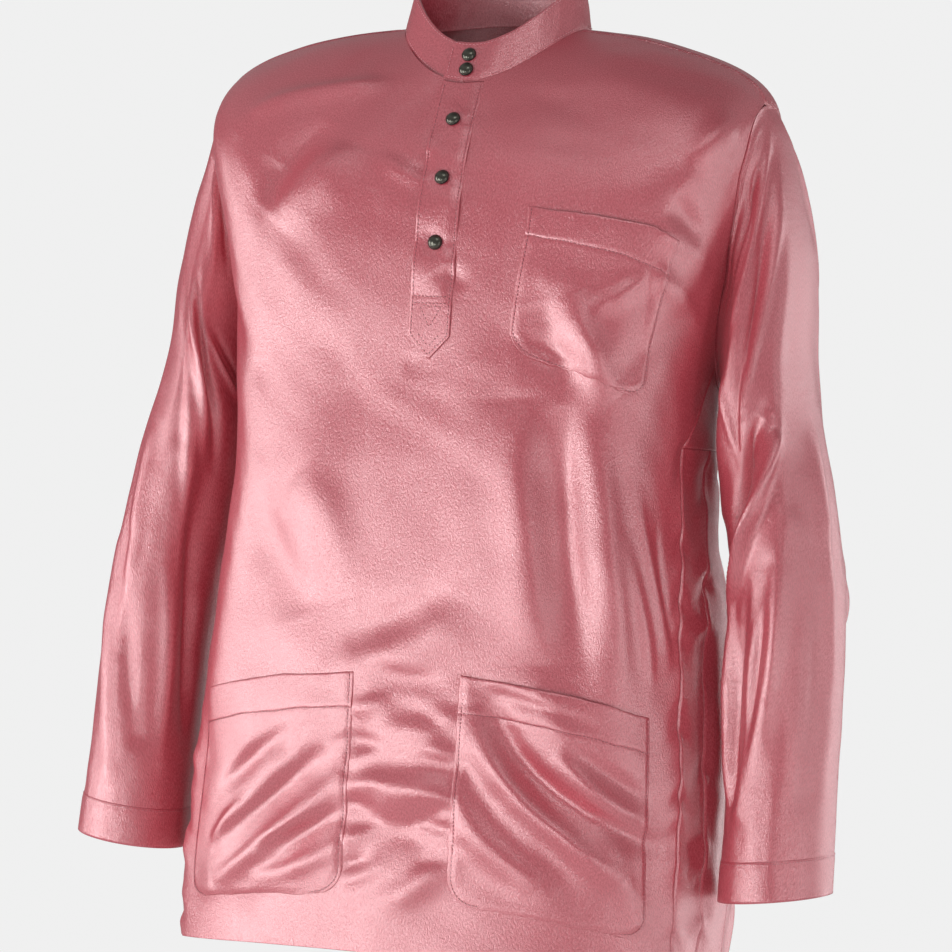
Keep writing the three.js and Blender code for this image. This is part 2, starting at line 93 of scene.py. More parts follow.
BODY_FOLDS = [
    # phi0, v0, phi1, v1, width, height
    (20, 0.56, 27, 0.31, 19, -3.4), (9, 0.60, 13, 0.33, 20, 2.4), (36, 0.52, 41, 0.30, 18, 3.0),
    (-20, 0.58, -24, 0.32, 24, 2.6), (-37, 0.50, -34, 0.30, 20, -2.8), (16, 0.25, 42, 0.02, 15, -3.4),
    (27, 0.27, 52, 0.07, 14, 3.4), (-44, 0.06, -18, 0.24, 14, 3.2), (-30, 0.03, -8, 0.19, 15, -3.2),
    (3, 0.22, -3, 0.00, 18, 3.6), (-66, 0.30, -60, 0.00, 22, 4.4), (62, 0.28, 66, 0.00, 20, 4.4),
    (68, 0.66, 40, 0.60, 15, -3.0), (-68, 0.66, -42, 0.59, 16, -3.2), (86, 0.50, 80, 0.22, 17, -3.4),
    (-84, 0.50, -86, 0.20, 18, -3.8), (118, 0.60, 140, 0.32, 22, 4.2), (-120, 0.58, -146, 0.34, 24, 4.4),
    (133, 0.52, 150, 0.20, 22, -4.2), (-136, 0.50, -158, 0.16, 20, -4.6), (168, 0.56, 174, 0.14, 24, 4.0),
    (192, 0.40, 186, 0.00, 22, -4.4), (150, 0.20, 146, 0.00, 24, 5.0), (-112, 0.24, -108, 0.00, 22, 4.6),
    (128, 0.76, 166, 0.70, 20, -3.0), (-130, 0.76, -168, 0.69, 22, -2.6),
]
# The sides stand out a little further in the cloth than in the solid, towards the sleeves
SIDE_FOLDS = [
    (94, 0.10, 93, 0.48, 46, 12.0), (83, 0.08, 84, 0.47, 15, 4.0), (-97, 0.12, -96, 0.46, 38, 8.0),
    (-84, 0.08, -85, 0.44, 15, 2.5),
]
SLEEVE_FOLDS = {
    1: [
        # theta0, t0, theta1, t1, width, height
        (60, 0.10, 128, 0.52, 15, -5.0), (84, 0.10, 150, 0.44, 13, 4.2), (34, 0.14, 66, 0.50, 15, 4.0),
        (62, 0.52, 118, 0.88, 13, 5.0), (84, 0.56, 134, 0.86, 12, -4.6), (24, 0.56, 44, 0.86, 15, -4.0),
        (-30, 0.20, -64, 0.50, 16, 4.2), (-66, 0.24, -118, 0.54, 15, -4.8), (-34, 0.58, -88, 0.70, 13, 4.2),
        (-50, 0.66, -120, 0.88, 14, -4.2), (196, 0.40, 178, 0.66, 14, -4.4),
        (168, 0.70, 186, 0.92, 14, 3.6),
    ],
    -1: [
        (52, 0.08, 104, 0.40, 14, -5.2), (78, 0.10, 128, 0.44, 13, 4.4), (30, 0.16, 52, 0.56, 15, 3.8),
        (118, 0.28, 158, 0.60, 14, -5.0), (70, 0.58, 112, 0.84, 13, -4.4), (48, 0.60, 84, 0.90, 14, 4.2),
        (-26, 0.22, -70, 0.46, 16, -4.4), (-56, 0.18, -110, 0.48, 14, 4.4), (-28, 0.54, -80, 0.66, 12, -4.4),
        (-60, 0.62, -130, 0.84, 15, 4.4), (186, 0.36, 200, 0.64, 14, 4.2), (20, 0.70, 28, 0.94, 15, -3.6),
    ],
}

# Creases that only the fine surface has: a path through three points, in degrees and in thousandths of v or
# t, with its half width and height in mm. The first table is what the front shows, the second the back.
FRONT_CREASES = [
    # phi0, v0, phi1, v1, phi2, v2, width, height
    (18, 574, 21, 444, 25, 301, 15, 3.2), (28, 570, 30, 440, 35, 299, 14, -2.6),
    (38, 530, 42, 419, 46, 297, 13, 1.8), (51, 478, 56, 408, 62, 336, 6, 1.6),
    (45, 439, 52, 369, 55, 304, 7, 1.4), (58, 461, 60, 400, 64, 348, 5, -1.4),
    (44, 754, 52, 726, 60, 701, 8, -2.2), (42, 733, 53, 710, 67, 680, 7, 1.8),
    (44, 691, 54, 669, 72, 633, 7, 1.6), (48, 781, 54, 796, 64, 797, 15, 2.6),
    (26, 684, 32, 626, 42, 574, 12, 2.4), (20, 676, 24, 629, 32, 576, 12, -1.6),
    (30, 660, 36, 672, 44, 686, 8, 1.4), (-35, 749, -31, 811, -32, 879, 12, -2.6),
    (-32, 736, -24, 800, -22, 865, 14, 2.2), (-48, 829, -44, 893, -32, 964, 12, 2.0),
    (-15, 284, -2, 306, 10, 362, 15, 1.4), (-13, 312, -2, 338, 7, 374, 14, -1.0),
    (-26, 482, -18, 432, -13, 352, 18, 1.6), (-36, 434, -28, 394, -22, 333, 16, -1.6),
    (-9, 180, 0, 164, 8, 182, 12, 2.0), (-8, 139, 0, 124, 8, 146, 12, -1.8),
    (-10, 64, -6, 79, -2, 96, 6, 1.6), (-2, 49, 5, 76, 10, 118, 9, 1.8),
    (-42, 60, -24, 115, -10, 182, 9, 3.0), (-40, 105, -26, 152, -14, 205, 9, -2.6),
    (-31, 65, -20, 80, -10, 111, 8, 2.2), (-30, 96, -19, 115, -10, 144, 7, -2.0),
    (-44, 105, -39, 126, -32, 149, 7, 1.8), (-42, 160, -32, 193, -22, 221, 9, -2.0),
    (12, 261, 23, 169, 48, 104, 10, 3.2), (16, 263, 30, 180, 62, 150, 10, -3.0),
    (28, 221, 40, 189, 52, 170, 8, 1.6), (31, 234, 42, 210, 54, 195, 8, -1.6),
    (8, 199, 14, 133, 28, 84, 12, 2.2), (14, 273, 24, 265, 40, 255, 5, -1.0),
    (-2, 619, -2, 604, 0, 591, 5, -1.2), (1, 715, 3, 706, 5, 689, 7, -1.2),
    (-4, 876, -4, 850, -4, 824, 6, -1.0), (-14, 864, -8, 840, -2, 824, 8, 1.0),
    # beside the lower pockets' inner edges
    (-10, 240, -7.5, 246, -2.5, 256, 7, 1.4), (-10, 214, -8, 212, -3, 205, 6, -1.3),
    (-10, 190, -8, 194, -4.5, 202, 5, 1.3), (-10, 166, -7, 168, -2, 176, 6, 1.4),
    (-10, 148, -7, 146, -4, 140, 5, -1.2), (-10, 110, -7, 116, -1, 130, 7, 1.6),
    (-10, 86, -7, 88, -3, 94, 5, -1.2), (10, 236, 7.5, 240, 4, 250, 6, 1.3),
    (10, 206, 7, 206, 3, 212, 6, 1.4), (10, 188, 8, 186, 4, 182, 5, -1.2), (10, 162, 7, 160, 3, 164, 6, 1.3),
    (10, 140, 8, 138, 6, 134, 4, 1.2), (10, 120, 7, 120, 2, 128, 6, 1.4), (10, 98, 7, 96, 3, 90, 5, -1.2),
    # between the pockets and above them
    (-8, 292, 0, 276, 6, 284, 9, -0.9), (-4, 258, 2, 244, 8, 240, 8, -0.7),
    (-3, 222, 3, 228, 8, 222, 8, 0.7), (-5, 200, 1, 190, 6, 194, 8, -0.6),
    # the chest pocket's slack, and the hollow above the placket's foot
    (24, 662, 33, 632, 43, 600, 12, 0.6), (36, 700, 37, 652, 41, 600, 14, 0.5),
    (16, 640, 22, 624, 30, 606, 9, -0.7), (44, 700, 45, 660, 46, 610, 9, -0.7),
]
BACK_CREASES = [
    # phi0, v0, phi1, v1, phi2, v2, width, height
    (112, 620, 124, 550, 130, 430, 11, 2.6), (118, 640, 134, 570, 142, 460, 9, -2.2),
    (-114, 630, -126, 540, -136, 410, 12, 2.8), (-120, 650, -136, 580, -150, 490, 9, -2.4),
    (158, 600, 162, 460, 157, 300, 14, 2.4), (171, 520, 168, 380, 172, 220, 12, -2.2),
    (-166, 560, -170, 420, -164, 260, 13, 2.4), (-152, 400, -148, 280, -153, 120, 12, -2.4),
    (146, 340, 150, 220, 144, 80, 12, 2.2), (-176, 300, -172, 180, -178, 20, 14, 2.6),
    (122, 300, 118, 200, 124, 60, 11, -2.4), (-126, 280, -122, 160, -128, 30, 12, 2.2),
    (104, 440, 110, 360, 108, 240, 9, 2.0), (-104, 460, -112, 360, -108, 260, 9, -2.0),
    (132, 820, 150, 800, 168, 830, 14, 2.0), (-134, 810, -152, 780, -170, 810, 15, 2.2),
    (126, 720, 142, 680, 160, 660, 12, -1.8), (-124, 740, -144, 700, -164, 690, 13, -2.0),
    (178, 900, 170, 840, 176, 760, 14, -1.6), (110, 120, 106, 60, 108, 0, 10, 2.2),
]
SLEEVE_CREASES = {
    1: [
        # theta0, t0, theta1, t1, theta2, t2, width, height
        (24, 62, 66, 52, 115, 88, 4, 1.6), (28, 85, 69, 105, 112, 128, 4, -2.0),
        (20, 83, 61, 130, 106, 175, 5, 2.2), (23, 105, 57, 158, 87, 242, 6, -2.4),
        (34, 145, 63, 215, 88, 357, 7, 2.6), (122, 170, 116, 285, 106, 410, 4, 1.6),
        (89, 240, 90, 325, 100, 388, 4, 1.8), (57, 398, 89, 470, 147, 595, 8, 7.5),
        (68, 370, 106, 445, 160, 560, 8, -6.5), (140, 570, 147, 720, 140, 880, 7, 5.0),
        (92, 598, 112, 698, 121, 875, 7, 2.2), (111, 578, 134, 693, 135, 833, 7, -2.6),
        (69, 505, 82, 603, 88, 728, 10, 2.2), (-20, 100, -52, 200, -84, 340, 8, 2.6),
        (-30, 80, -70, 150, -110, 260, 7, -2.6), (-60, 340, -96, 440, -140, 500, 8, 2.8),
        (-40, 500, -84, 550, -130, 570, 7, -3.0), (-20, 600, -60, 680, -84, 840, 9, 2.4),
        (10, 400, 22, 550, 18, 720, 10, 2.0), (-100, 620, -120, 740, -110, 900, 8, -2.2),
    ],
    -1: [
        (45, 50, 72, 75, 98, 110, 4, -2.6), (43, 80, 69, 105, 93, 150, 5, 2.2),
        (52, 45, 80, 55, 108, 80, 5, 1.6), (78, 165, 113, 255, 145, 420, 5, -3.6),
        (69, 180, 103, 275, 136, 427, 7, 3.2), (110, 200, 138, 228, 165, 290, 4, 2.4),
        (114, 180, 145, 193, 164, 247, 4, -2.4), (81, 263, 104, 378, 131, 512, 8, 2.2),
        (127, 450, 150, 640, 168, 848, 9, -2.8), (118, 578, 136, 720, 140, 875, 10, 2.2),
        (60, 420, 76, 560, 84, 740, 10, 2.0), (-24, 120, -60, 240, -90, 380, 8, 2.4),
        (-34, 100, -80, 180, -118, 300, 7, -2.6), (-54, 400, -92, 460, -136, 480, 8, 2.8),
        (-44, 520, -88, 560, -126, 620, 7, -2.8), (-16, 640, -48, 740, -70, 880, 9, 2.2),
        (14, 340, 28, 480, 24, 660, 10, -2.0), (-96, 660, -128, 780, -122, 920, 8, 2.2),
    ],
}


def rad(a):
    return np.asarray(a, float) * math.pi / 180


def smooth(x, a, b):
    s = np.clip((np.asarray(x, float) - a) / (b - a), 0, 1)
    return s * s * (3 - 2 * s)


def lerp(a, b, s):
    return a + (b - a) * s


def hump(x, width):
    return np.exp(-(x / width) ** 2)


def spline(table, x):
    """A smooth curve through a table's rows, whose first column is the knot."""
    rows = np.asarray(table, float)
    k, y = rows[:, 0], rows[:, 1:]
    x = np.asarray(x, float)
    m = np.zeros_like(y)
    m[1:-1] = (y[2:] - y[:-2]) / (k[2:] - k[:-2])[:, None]
    m[0] = (y[1] - y[0]) / (k[1] - k[0])
    m[-1] = (y[-1] - y[-2]) / (k[-1] - k[-2])
    i = np.clip(np.searchsorted(k, x, side="right") - 1, 0, len(k) - 2)
    h = (k[i + 1] - k[i])[..., None]
    s = (x[..., None] - k[i][..., None]) / h
    s2, s3 = s * s, s * s * s
    out = (2 * s3 - 3 * s2 + 1) * y[i] + (s3 - 2 * s2 + s) * h * m[i]
    return out + (3 * s2 - 2 * s3) * y[i + 1] + (s3 - s2) * h * m[i + 1]


def soften(table, steps, passes):
    rows = spline(table, np.linspace(0, 1, steps + 1))
    for _ in range(passes):
        rows[1:-1] = (rows[:-2] + 2 * rows[1:-1] + rows[2:]) / 4
    return rows


SOFT_STEPS = 120
SOFT_RINGS = soften(RINGS, SOFT_STEPS, 14)


def ring(v):
    at = np.clip(v, 0, 1) * SOFT_STEPS
    i = np.minimum(np.floor(at).astype(int), SOFT_STEPS - 1)
    s = (at - i)[..., None]
    a, x, b, d = (SOFT_RINGS[np.clip(i + k, 0, SOFT_STEPS)] for k in (-1, 0, 1, 2))
    s2 = s * s
    return x + (b - a) * s / 2 + (2 * a - 5 * x + 4 * b - d) * s2 / 2 + (3 * (x - b) + d - a) * s2 * s / 2


def form(phi, v):
    """A point of the smooth body form."""
    phi, v = np.broadcast_arrays(np.asarray(phi, float), np.asarray(v, float))
    half, front, back, mid, z_side, z_front, z_back, square = np.moveaxis(ring(v), -1, 0)
    c, s = np.cos(rad(phi)), np.sin(rad(phi))
    sx = (s + square * np.sin(3 * rad(phi))) / (1 - square)
    cy = (c - square * np.cos(3 * rad(phi))) / (1 - square)
    depth = np.where(c > 0, front, back)
    z = z_side + (np.where(c > 0, z_front, z_back) - z_side) * c * c
    return np.stack([half * sx, mid - depth * cy, z], -1)


def unit(a):
    return a / np.linalg.norm(a, axis=-1, keepdims=True)


def per_degree(phi0, phi1, v):
    """The distance in mm between two angles a degree apart."""
    return np.linalg.norm(form(phi1, v) - form(phi0, v), axis=-1)


def body_normal(phi, v):
    across = form(phi + 0.5, v) - form(phi - 0.5, v)
    return unit(np.cross(across, form(phi, v + 0.002) - form(phi, v - 0.002)))


def fold_height(folds, x, z, per_turn, length):
    height = np.zeros(np.shape(x))
    for a0, b0, a1, b1, width, tall in folds:
        ex, ez = (a1 - a0) * per_turn, (b1 - b0) * length
        px = x - a0
        px = (px - 360 * np.round((px - (a1 - a0) / 2) / 360)) * per_turn
        pz = (z - b0) * length
        s = np.clip((px * ex + pz * ez) / (ex * ex + ez * ez), 0, 1)
        d2 = (px - s * ex) ** 2 + (pz - s * ez) ** 2
        taper = 0.35 + 0.65 * np.sin(math.pi * np.clip(s, 0.12, 0.88))
        height += tall * taper * np.exp(-d2 / (width * width))
    return height


CREASE_PARTS = 8              # straight parts that a crease's path is measured in


def crease_height(creases, x, z, per_turn, length):
    """Like the folds, along a curved path, crisper on its far side and fading out at both ends."""
    height = np.zeros(np.shape(x))
    k = np.linspace(0, 1, CREASE_PARTS + 1)[:, None]
    for a0, b0, a1, b1, a2, b2, width, tall in creases:
        first, middle, last = np.array([(a0, b0), (a1, b1), (a2, b2)]) / (1, 1000)
        ctrl = 2 * middle - (first + last) / 2
        path = (1 - k) ** 2 * first + 2 * k * (1 - k) * ctrl + k * k * last
        px = x - a1
        px = (px - 360 * np.round(px / 360) + a1) * per_turn
        pz = z * length
        path = path * np.array([per_turn, length])
        near = (np.abs(px - path[:, 0].mean()) < np.ptp(path[:, 0]) / 2 + 5 * width) & (
            np.abs(pz - path[:, 1].mean()) < np.ptp(path[:, 1]) / 2 + 5 * width)
        qx, qz = px[near], pz[near]
        best = np.full(qx.shape, 1e9)
        side = np.zeros(qx.shape)
        along = np.zeros(qx.shape)
        for n in range(CREASE_PARTS):
            (x0, z0), (x1, z1) = path[n], path[n + 1]
            ex, ez = x1 - x0, z1 - z0
            s = np.clip(((qx - x0) * ex + (qz - z0) * ez) / (ex * ex + ez * ez), 0, 1)
            d2 = (qx - x0 - s * ex) ** 2 + (qz - z0 - s * ez) ** 2
            closer = d2 < best
            best = np.where(closer, d2, best)
            side = np.where(closer, np.sign((qx - x0) * ez - (qz - z0) * ex), side)
            along = np.where(closer, (n + s) / CREASE_PARTS, along)
        w = width * np.where(side > 0, 1.25, 0.85)
        taper = np.sin(math.pi * np.clip(along, 0.02, 0.98)) ** 0.7
        gain = 1 + 0.9 * min(max((width - 4) / 6, 0), 1)
        height[near] += gain * tall * taper * np.exp(-best / (w * w))
    return height


def noise(x, z, seed):
    """Smooth value noise with a cell of 1."""
    table = np.random.RandomState(seed).uniform(-1, 1, (64, 64))
    i, j = np.floor(x).astype(int), np.floor(z).astype(int)
    fx, fz = x - i, z - j
    fx, fz = fx * fx * (3 - 2 * fx), fz * fz * (3 - 2 * fz)

    def at(a, b):
        return table[(i + a) % 64, (j + b) % 64]
    return lerp(lerp(at(0, 0), at(1, 0), fx), lerp(at(0, 1), at(1, 1), fx), fz)


def arm_half(v):
    tau = (v - (ARM_UNDER + ARM_TOP) / 2) / ((ARM_TOP - ARM_UNDER) / 2)
    return ARM_HALF * np.maximum(1 - tau * tau, 0) ** 0.42


def arm_mid(v):
    return lerp(100, SHOULDER_TIP, smooth(v, 0.66, ARM_TOP))


def seam_phi(v, sign):
    """A panel's edge in degrees: sign -1 beside the front, +1 beside the back."""
    v = np.asarray(v, float)
    low = spline(GORES, np.minimum(v, GUSSET_FOOT))[..., 0 if sign < 0 else 2]
    horn = arm_mid(GUSSET_HORN) + sign * arm_half(GUSSET_HORN)
    low = lerp(low, horn, np.maximum(v - GUSSET_FOOT, 0) / (GUSSET_HORN - GUSSET_FOOT))
    loop = arm_mid(v) + sign * arm_half(v)
    shoulder = lerp(SHOULDER_TIP, SHOULDER_NECK, np.clip((v - ARM_TOP) / (1 - ARM_TOP), 0, 1))
    return np.where(v > ARM_TOP, shoulder, np.where(v >= GUSSET_HORN, loop, low))


def armhole(theta):
    c = np.cos(rad(theta))
    v = (ARM_UNDER + ARM_TOP) / 2 + (ARM_TOP - ARM_UNDER) / 2 * c
    sign = np.where(np.sin(rad(theta)) >= 0, -1, 1)
    return arm_mid(v) + sign * arm_half(v), v


def arm_theta(v):
    return np.degrees(np.arccos((v - (ARM_UNDER + ARM_TOP) / 2) / ((ARM_TOP - ARM_UNDER) / 2)))


def turn_of(phi):
    """The angle round the body as -180 to 180."""
    return (np.asarray(phi, float) + 180) % 360 - 180


def seam_pucker(phi, v):
    """Small gathers beside the gores' seams, the armholes and the shoulder seams."""
    turned = turn_of(phi)
    size = np.abs(turned)
    scale = PER_DEGREE * (1 - 0.25 * smooth(size, 50, 80))
    along = v * BODY_LENGTH
    out = np.zeros(np.shape(along))
    seams = spline(GORES, np.clip(v, 0, GUSSET_FOOT))
    low = 1 - smooth(v, GUSSET_FOOT - 0.01, GUSSET_FOOT + 0.03)
    for k, (tall, seed) in enumerate([(2.2, 3), (2.4, 7), (1.8, 11)]):
        d = np.abs(size - seams[..., k]) * scale
        wave = noise((along + 0.7 * d) / 13, np.sign(turned) * 3 + 9.5, seed)
        out += tall * wave * hump(d, 12) * low
    for sign in (-1, 1):
        d = np.abs(size - seam_phi(v, sign)) * scale
        high = smooth(v, GUSSET_FOOT - 0.01, GUSSET_FOOT + 0.03)
        wave = noise((along + 0.5 * d) / 15, np.sign(turned) * 5 + 20.5, 17 + sign)
        out += 0.55 * wave * hump(d, 11) * high * (1 - 0.7 * smooth(v, ARM_TOP, 0.9))
    return out


def body_relief(phi, v):
    fade = smooth(1 - v, 0.02, 0.2)
    turned = turn_of(phi)
    out = fold_height(BODY_FOLDS + SIDE_FOLDS, turned, v, PER_DEGREE, BODY_LENGTH) * fade
    calm = smooth(1 - v, 0.01, 0.08)
    fine = crease_height(FRONT_CREASES, turned, v, PER_DEGREE, BODY_LENGTH)
    fine += crease_height(BACK_CREASES, turned, v, PER_DEGREE, BODY_LENGTH)
    fine += seam_pucker(phi, v)
    x, z = turned * PER_DEGREE, v * BODY_LENGTH
    fine += 1.3 * noise(x / 56 + 9, z / 74 + 4, 5) + 0.45 * noise((x + 0.5 * z) / 24 + 3, z / 31 + 8, 23)
    return out + 1.5 * fine * calm


def body(phi, v, lift=0.0):
    phi, v = np.broadcast_arrays(np.asarray(phi, float), np.asarray(v, float))
    n = body_normal(phi, v)
    return form(phi, v) + n * (body_relief(phi, v) + lift)[..., None], n


def edge_dip(d, welt=0.35):
    """The profile across a sewn seam: a sharp valley, then a low welt beside it."""
    return -0.7 * hump(d, 0.9) + welt * hump(d - 2.6, 1.4)


def stations(a, b, step, edge=(0, 0.6, 1.3, 2.2, 3.4, 5.0)):
    """Distances from a to b with close ones at both ends, as shares from 0 to 1."""
    length = abs(b - a)
    ends = np.array(edge)
    inner = length - 2 * ends[-1]
    middle = np.linspace(ends[-1], length - ends[-1], max(int(inner / step), 1) + 1)
    return np.concatenate([ends[:-1], middle, (length - ends[:-1])[::-1]]) / length


def mesh_object(name, verts, faces, uvs=None, around=False, materials=()):
    mesh = bpy.data.meshes.new(name)
    mesh.from_pydata((np.asarray(verts) * 0.001).tolist(), [], [tuple(map(int, f)) for f in faces])
    if uvs is not None:
        layer = mesh.uv_layers.new(name="cloth")
        loops = np.empty(len(mesh.loops), dtype=np.int32)
        mesh.loops.foreach_get("vertex_index", loops)
        uv = (np.asarray(uvs) * 0.001)[loops].astype(np.float32)
        if around:
            # the last strip of a tube runs on past the cut's edge, in place of back across the whole cut
            u = uv[:, 0].reshape(-1, 4)
            far = u.max(1, keepdims=True)
            uv[:, 0] = np.where(far - u > 0.1, far + STEP * 0.001, u).ravel()
        layer.data.foreach_set("uv", uv.ravel())
    mesh.polygons.foreach_set("use_smooth", [True] * len(mesh.polygons))
    for material in materials:
        mesh.materials.append(material)
    mesh.update()
    obj = bpy.data.objects.new(name, mesh)
    bpy.context.scene.collection.objects.link(obj)
    return obj


def wall(name, p, n, thick, around=False, slit=None, inset=-0.15):
    """A wall from a grid of outer points p and outward directions n. The edges draw back by half a seam.
    slit is (column, first row) of a cut that parts the grid upwards from there."""
    rows, cols = p.shape[0], p.shape[1]
    uv = flat_uv(p).reshape(-1, 2)
    p, n = p.reshape(-1, 3).copy(), n.reshape(-1, 3).copy()
    index = np.arange(rows * cols).reshape(rows, cols)
    right = index.copy()
    if slit:
        col, first = slit
        extra = np.arange(rows * cols, rows * cols + rows - first)
        right[first:, col] = extra
        cut = index[first:, col]
        p = np.concatenate([p, p[cut] + [SLIT_HALF, 0, 0]])
        p[cut] -= [SLIT_HALF, 0, 0]
        n, uv = np.concatenate([n, n[cut]]), np.concatenate([uv, uv[cut]])
    if around:
        nxt = np.roll(index, -1, axis=1)
        a, b, c, d = index[:-1], nxt[:-1], nxt[1:], index[1:]
        rims = [index[0], index[-1][::-1]]
    else:
        a, b, c, d = right[:-1, :-1], index[:-1, 1:], index[1:, 1:], right[1:, :-1]
        top = index[-1][::-1]
        if slit:
            top = np.concatenate([index[-1, col + 1:][::-1], right[first:, col][::-1],
                                  index[first - 1:, col], index[-1, :col][::-1]])
        rims = [np.concatenate([index[0], index[1:-1, -1], top, index[1:-1, 0][::-1]])]
    quads = np.stack([a, b, c, d], -1).reshape(-1, 4)
    q = p[quads[0]]
    flip = np.dot(np.cross(q[1] - q[0], q[2] - q[0]), n[quads[0][0]]) < 0
    sign = -1 if flip else 1
    moved = p.copy()
    for r in rims:
        before, after = p[np.roll(r, 1)], p[np.roll(r, -1)]
        n1 = np.cross(n[r], p[r] - before) * sign
        n2 = np.cross(n[r], after - p[r]) * sign
        n1 /= np.maximum(np.linalg.norm(n1, axis=1, keepdims=True), 1e-9)
        n2 /= np.maximum(np.linalg.norm(n2, axis=1, keepdims=True), 1e-9)
        spread = 1 + (n1 * n2).sum(1, keepdims=True)
        moved[r] += np.where(spread > 0.3, (n1 + n2) * inset / np.maximum(spread, 0.3), 0)
    inner = moved - n * np.broadcast_to(thick, p.shape[0])[:, None]
    count = len(p)
    faces = [quads, quads[:, ::-1] + count]
    for r in rims:
        m = np.roll(r, -1)
        faces.append(np.stack([m, r, r + count, m + count], -1))
    faces = np.concatenate(faces)
    if flip:
        faces = faces[:, ::-1]
    return mesh_object(name, np.concatenate([moved, inner]), faces, np.concatenate([uv, uv]), around)


def spacing(p, axis):
    """Distances between a grid's neighbouring points, in mm."""
    return np.linalg.norm(np.diff(p, axis=axis), axis=2)


def flat_uv(p):
    """Distances along the rows and columns of a grid of points, in mm."""
    across = np.concatenate([np.zeros((p.shape[0], 1)), np.cumsum(spacing(p, 1), axis=1)], axis=1)
    across -= across[:, across.shape[1] // 2][:, None]
    along = np.concatenate([np.zeros((1, p.shape[1])), np.cumsum(spacing(p, 0), axis=0)], axis=0)
    return np.stack([across, along], -1)


def cut_area(p):
    """Area of a grid of points in square metres."""
    up, across = np.diff(p, axis=0), np.diff(p, axis=1)
    twice = [np.linalg.norm(np.cross(up[:, k:k + p.shape[1] - 1], across[k:k + p.shape[0] - 1]), axis=2)
             for k in (0, 1)]
    return float((twice[0] + twice[1]).sum()) / 2e6


def declare(obj, node):
    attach(obj, "root")
    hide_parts(node)
    obj.data.materials.append(cloth)


def sheet_of(obj, node, p, panel=False):
    """Puts a piece in place of its part, and works out the cut that its grid of points has when it's laid
    flat, which nothing uses. A body panel's columns also run inwards along the shoulder, which adds nothing
    to the length of its cut."""
    uv = flat_uv(p)
    width = float((uv[:, -1, 0] - uv[:, 0, 0]).max()) * 0.001
    length = float(uv[-1, :, 1].max()) * 0.001
    if panel:
        length = float(spacing(p[..., 1:], 0).sum(0).max()) * 0.001
    area = min(cut_area(p), width * length)
    area = None if area > 0.97 * width * length else area
    declare(obj, node)


# Materials

def set_inputs(node, values):
    for key, value in values.items():
        node.inputs[key].default_value = value
    return node


def add_node(nodes, kind, values):
    return set_inputs(nodes.new("ShaderNode" + kind), values)


def add_mix(nodes, values, blend="MIX"):
    mix = nodes.new("ShaderNodeMix")
    mix.data_type, mix.blend_type = "RGBA", blend
    return set_inputs(mix, values)


def join(source, output, node, key):
    node.id_data.links.new(source.outputs[output], node.inputs[key])


def new_material(name, values):
    mat = bpy.data.materials.new(name)
    mat.use_nodes = True
    nodes = mat.node_tree.nodes
    return mat, nodes, set_inputs(nodes["Principled BSDF"], values)


def satin(name, base, light):
    """Satin: a soft broad gloss, a fine pebbled grain of short slubs along the cloth, and a slow change of
    shade."""
    mat, nodes, shader = new_material(name, {
        "Roughness": 0.21, "IOR": 2.2, "Specular IOR Level": 1.0, "Specular Tint": (1.0, 0.75, 0.77, 1),
        "Anisotropic": 0.2, "Sheen Weight": 0.12, "Sheen Roughness": 0.4, "Sheen Tint": (1.0, 0.75, 0.78, 1),
    })
    coords = nodes.new("ShaderNodeUVMap")
    tangent = nodes.new("ShaderNodeTangent")
    tangent.direction_type = "UV_MAP"
    coords.uv_map = tangent.uv_map = "cloth"
    join(tangent, "Tangent", shader, "Tangent")

    def grain(scale_x, scale_y, detail, rotate=0.0):
        mapping = add_node(nodes, "Mapping", {"Scale": (scale_x, scale_y, 1), "Rotation": (0, 0, rotate)})
        tex = add_node(nodes, "TexNoise", {"Scale": 1, "Detail": detail, "Roughness": 0.6})
        join(coords, "UV", mapping, "Vector")
        join(mapping, "Vector", tex, "Vector")
        return tex

    slubs, pebble, slow = grain(780, 430, 3, 0.5), grain(1350, 980, 2, -0.6), grain(14, 9, 2)
    weave = add_node(nodes, "Math", {1: 0.6})
    weave.operation = "MULTIPLY_ADD"
    join(pebble, "Fac", weave, 0)
    join(slubs, "Fac", weave, 2)
    bump = add_node(nodes, "Bump", {"Strength": 0.42, "Distance": 0.0009})
    join(weave, 0, bump, "Height")
    join(bump, "Normal", shader, "Normal")
    ramp = add_node(nodes, "MapRange", {"From Min": 0.62, "From Max": 0.98})
    join(weave, 0, ramp, "Value")
    colour = add_mix(nodes, {"A": (*base, 1), "B": (*light, 1)})
    join(ramp, "Result", colour, "Factor")
    shade = add_mix(nodes, {"Factor": 0.12}, "MULTIPLY")
    join(colour, "Result", shade, "A")
    join(slow, "Fac", shade, "B")
    join(shade, "Result", shader, "Base Color")
    return mat


def plain(name, colour, rough, metallic=0.0):
    """A surface whose colour and roughness vary a little."""
    mat, nodes, shader = new_material(name, {"Metallic": metallic})
    tex = add_node(nodes, "TexNoise", {"Scale": 900, "Detail": 3})
    span = add_node(nodes, "MapRange", {"To Min": rough * 0.8, "To Max": rough * 1.25})
    join(tex, "Fac", span, "Value")
    join(span, "Result", shader, "Roughness")
    dark, pale = [[min(c * k, 1) for c in colour] for k in (0.8, 1.2)]
    tint = add_mix(nodes, {"A": (*dark, 1), "B": (*pale, 1)})
    join(tex, "Fac", tint, "Factor")
    join(tint, "Result", shader, "Base Color")
    return mat


cloth = satin("satin_rose", (0.41, 0.038, 0.060), (0.66, 0.108, 0.145))
thread = plain("thread_rose", (0.27, 0.060, 0.080), 0.5)
# the collar's thread is the same rose thread made paler: a painted highlight where its stitches catch the
# light
thread_painted_highlight = plain("thread_pale_painted_highlight", (0.66, 0.27, 0.31), 0.5)
metal = plain("stud_gunmetal", (0.115, 0.115, 0.095), 0.24, 0.9)
rim_metal = plain("stud_rim", (0.035, 0.034, 0.030), 0.35, 0.9)


# Front

def rows_between(v0, v1, step=STEP):
    return lerp(v0, v1, stations(0, abs(v1 - v0) * BODY_LENGTH, step))


